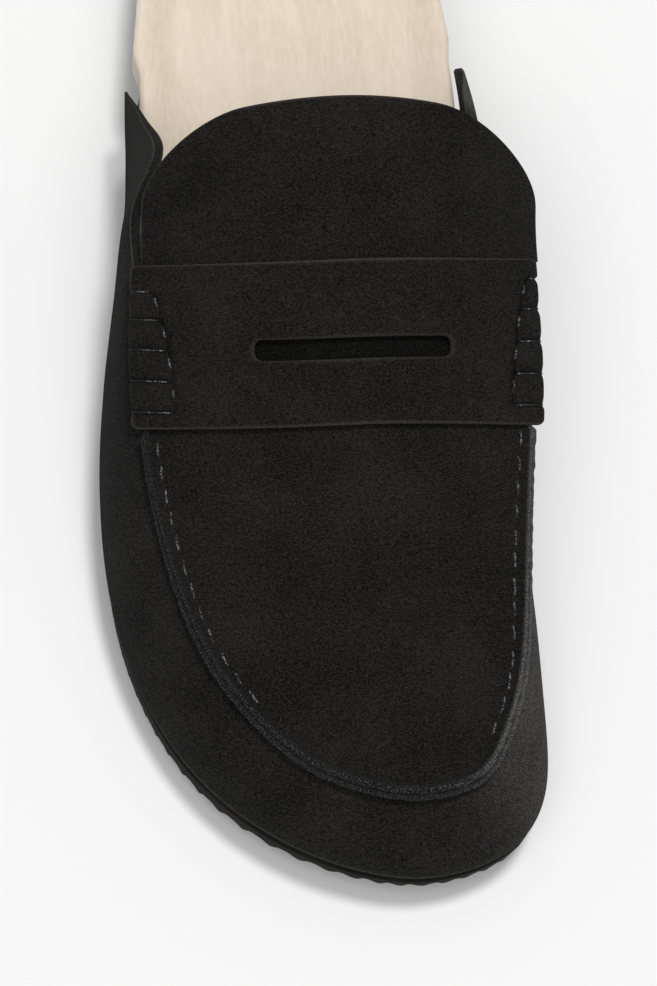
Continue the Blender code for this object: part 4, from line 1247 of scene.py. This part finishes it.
strap_width = np.linalg.norm(instep(STRAP_REAR_ROW, 0.0) - instep(STRAP_FRONT_ROW, 0.0))
run_long = np.linspace(-1.0, 1.0, LONG_SIDE_POINTS, endpoint=False)
run_end = np.linspace(-1.0, 1.0, END_POINTS, endpoint=False)
border = whole_run(np.column_stack([run_long, -np.ones(LONG_SIDE_POINTS)]),
                   np.column_stack([np.ones(END_POINTS), run_end]))
border_level = 0.5 + 0.5 * border[:, 1]
border_ends = [strap_end(border_level, end) - drawn_in(border_level, end) / INSTEP_HALF_WIDTH
               for end in STRAP_ENDS]
border_end = np.where(border[:, 0] < 0.0, *border_ends)
# The corners are rounded: each point keeps the distances that it then has from both edges.
on_long = np.abs(border[:, 1]) == 1.0
to_end, off_long = turned((1.0 - np.abs(border[:, 0])) * border_end * INSTEP_HALF_WIDTH, CORNER_RADIUS)
to_long, off_end = turned((0.5 - np.abs(border_level - 0.5)) * strap_width, CORNER_RADIUS)
to_end = np.where(on_long, to_end, off_end)
to_long = np.where(on_long, off_long, to_long)
border_across = np.sign(border[:, 0]) * (border_end - to_end / INSTEP_HALF_WIDTH)
border_level = 0.5 + np.sign(border_level - 0.5) * (0.5 - to_long / strap_width)
# The slot's edge, point for point with the border. Its ends are a little squarer than half circles.
slot_half = 0.5 * SLOT_WIDTH
straight = 0.5 * SLOT_LENGTH - slot_half
quarter = 0.5 * np.pi * run_end
slot_end_along = slot_half * np.cos(quarter) ** SLOT_END_POWER
slot_end_across = slot_half * np.sign(quarter) * np.abs(np.sin(quarter)) ** SLOT_END_POWER
slot_edge = whole_run(np.column_stack([run_long * straight, -slot_half * np.ones(LONG_SIDE_POINTS)]),
                      np.column_stack([straight + slot_end_along, slot_end_across]))
slot_across = (slot_edge[:, 0] + SLOT_OFFSET) / INSTEP_HALF_WIDTH
slot_level = 0.5 + (slot_edge[:, 1] - SLOT_FORWARD) / strap_width
reach = np.hypot((border_across - slot_across) * INSTEP_HALF_WIDTH,
                 (border_level - slot_level) * strap_width)
# Rings from the slot's edge (0) to the border (1), close together beside both.
close = CLOSE_SHARE * np.linspace(0.0, 1.0, 8) ** 1.7
rings = np.concatenate([close, np.linspace(0.10, 0.90, 16), 1.0 - close[::-1]])[:, None]
ring_across = slot_across + (border_across - slot_across) * rings
ring_level = slot_level + (border_level - slot_level) * rings
ring_depth = np.minimum(rings, 1.0 - rings) * reach
strap_drop = rounded(ring_depth, STRAP_ROUNDING * STRAP_THICKNESS)
strap_top = strap_point(ring_across, ring_level, STRAP_LIFT + STRAP_THICKNESS - strap_drop)
strap_under = strap_point(ring_across, ring_level, STRAP_LIFT + strap_drop)
strap_loop = np.concatenate([strap_top, strap_under[::-1], strap_top[:1]])
# Painted highlight along the strap's raw edges.
strap_highlight = (0.45 + 0.35 * step(rings, 0.3, 0.7)) * (1.0 - step(ring_depth, 0.0, RAW_EDGE))
# The strap lies in the dark close beside the roll.
strap_deep = np.zeros(ring_depth.shape)
for side, end in zip((-1.0, 1.0), STRAP_ENDS):
    beside = (strap_end(ring_level, end) - side * ring_across) * INSTEP_HALF_WIDTH
    beside = beside - ROLL_SETBACK - roll_width(ring_level, end)
    within = band(ring_level, end.start - 0.02, end.start, end.stop, end.stop + 0.02)
    strap_deep += ROLL_SHADE * within * np.exp(-(beside / ROLL_SHADE_WIDTH) ** 2)
strap_marks = {name: np.concatenate([mark, mark[::-1], mark[:1]])
               for name, mark in (("edge_highlight", strap_highlight), ("deep", strap_deep))}
piece("saddle_strap", strap_loop, cells(*strap_loop.shape[:2], closed=True), suede,
      ["strap"], strap_marks)


# Whipped strap ends
# At either end the strap is folded over into a roll, and one thread is whipped round it, which
# pinches the roll into four pads. Between two turns the thread shows on the strap beside each pad.

# Section of a pad: share of the roll's width, millimetres more inwards, and millimetres above the
# strap's underside, and which of these heights the thread pulls down.
PAD_SECTION = np.array([
    (0.00, 0.30, 0.10, 0.0), (0.00, 0.20, 0.80, 0.0), (0.00, 0.30, 1.70, 0.2), (0.00, 0.70, 2.90, 0.8),
    (0.08, 0.75, 3.60, 1.0), (0.33, 0.30, 4.00, 1.0), (0.65, 0.00, 4.00, 1.0), (0.88, 0.00, 3.70, 1.0),
    (1.00, -0.15, 3.10, 0.9), (1.00, 0.02, 2.50, 0.5), (1.00, 0.00, 2.08, 0.0), (0.50, 0.10, 2.05, 0.0),
    (0.00, 0.35, 2.02, 0.0), (0.00, 0.30, 0.60, 0.0), (0.00, 0.20, 0.10, 0.0)])
PAD_SAMPLES = 48
PAD_LEVELS = 150
PAD_PAST_WHIP = 0.006
PAD_FULLNESS = 3.6
PAD_LEFT = 0.12
PINCH_NARROWING = 0.0005
PINCH_FADE = 0.0012
PAD_SHADE = 0.9
PAD_SHADE_WIDTH = 0.011
WHIP_LIFT = 0.00010
# The thread between two turns: how far before the next turn it starts and ends, in levels, how far
# beside the pads and above the strap it lies, and how deep its ends dive.
BAR_REACH = (0.105, 0.032)
BAR_BESIDE = 0.00025
BAR_LIFT = 0.00030
BAR_DIVE = 0.0005
BAR_POINTS = 9


def pad_surface(side, end, levels, section, extra=0.0):
    """Points of the roll: the pad's section at each level, lowered and drawn in at the threads. It
    swells from a thread to the middle of a pad as one less a power of the share of the way left."""
    whips = whip_levels(end)
    nearest = np.abs(levels[:, None] - whips).min(axis=1)
    full = np.clip(nearest / (0.5 * (whips[1] - whips[0])), 0.0, 1.0)
    pinch = ((1.0 - full) ** PAD_FULLNESS)[:, None]
    width = ROLL_SETBACK + roll_width(levels, end)[:, None] - PINCH_NARROWING * pinch
    inwards = section[:, 0] * width + section[:, 1] * 0.001
    inwards = inwards + (1.0 - section[:, 0]) * set_in(levels, end)[:, None]
    inwards = inwards + PINCH_DEPTH * pinch * np.exp(-inwards / PINCH_FADE)
    kept = 1.0 - section[:, 3] * (1.0 - PAD_LEFT) * pinch
    height = STRAP_THICKNESS + (section[:, 2] * 0.001 - STRAP_THICKNESS) * kept
    across = side * (strap_end(levels, end)[:, None] - inwards / INSTEP_HALF_WIDTH)
    grid_levels = np.broadcast_to(levels[:, None], across.shape)
    return strap_point(across, grid_levels, STRAP_LIFT + height + extra)


fine_section = spline(PAD_SECTION, np.linspace(0.0, len(PAD_SECTION) - 1.0, PAD_SAMPLES))
over = spline(PAD_SECTION, np.linspace(0.6, 9.6, 26))
for name, side, end in zip(("strap_roll_lateral", "strap_roll_medial"), (-1.0, 1.0), STRAP_ENDS):
    turns = whip_levels(end)
    pad_levels = np.linspace(end.start - PAD_PAST_WHIP, end.stop + PAD_PAST_WHIP, PAD_LEVELS)
    pads = closed_ends(pad_surface(side, end, pad_levels, fine_section))
    # Painted shade on the pads at each turn of the thread.
    pad_deep = np.abs(pad_levels[:, None] - turns).min(axis=1)
    pad_deep = PAD_SHADE * np.concatenate([[1.0], np.exp(-(pad_deep / PAD_SHADE_WIDTH) ** 2), [1.0]])
    piece(name.replace("strap_roll", "pads"), pads, cells(*pads.shape[:2]), suede,
          [name], {"deep": np.broadcast_to(pad_deep[:, None], pads.shape[:2])})

    whips = pad_surface(side, end, turns, over, WHIP_LIFT)
    whip_normals = np.full(whips.shape[:2], side * NEAR_SEAM)
    whip_normals = instep_normal(strap_rows(whip_normals, turns[:, None]), whip_normals)
    whip_points, whip_faces = thread(whips, whip_normals)
    bars_level = turns[1:, None] - np.linspace(*BAR_REACH, BAR_POINTS)[None, :]
    bars_across = ROLL_SETBACK + roll_width(bars_level, end) + BAR_BESIDE
    bars_across = side * (strap_end(bars_level, end) - bars_across / INSTEP_HALF_WIDTH)
    rise = BAR_LIFT - BAR_DIVE * np.abs(np.linspace(-1.0, 1.0, BAR_POINTS)) ** 3
    bars = strap_point(bars_across, bars_level, STRAP_LIFT + STRAP_THICKNESS + rise)
    bar_normals = instep_normal(strap_rows(bars_across, bars_level), bars_across)
    bar_points, bar_faces = thread(bars, bar_normals)
    thread_points = np.concatenate([whip_points.reshape(-1, 3), bar_points.reshape(-1, 3)])
    thread_faces = np.concatenate([whip_faces, bar_faces + whip_points.size // 3])
    # The thread catches the light only on top of the roll, towards its inner side.
    whip_bright = 0.05 + 0.95 * band(np.linspace(0.0, 1.0, len(over)), 0.46, 0.60, 0.84, 0.90)
    whip_bright = np.broadcast_to(whip_bright[:, None], whip_points.shape[:3])
    bright = np.concatenate([whip_bright.ravel(), np.ones(bar_points.size // 3)])
    piece(name.replace("strap_roll", "whipping"), thread_points, thread_faces, twine,
          [name], {"bright": bright})
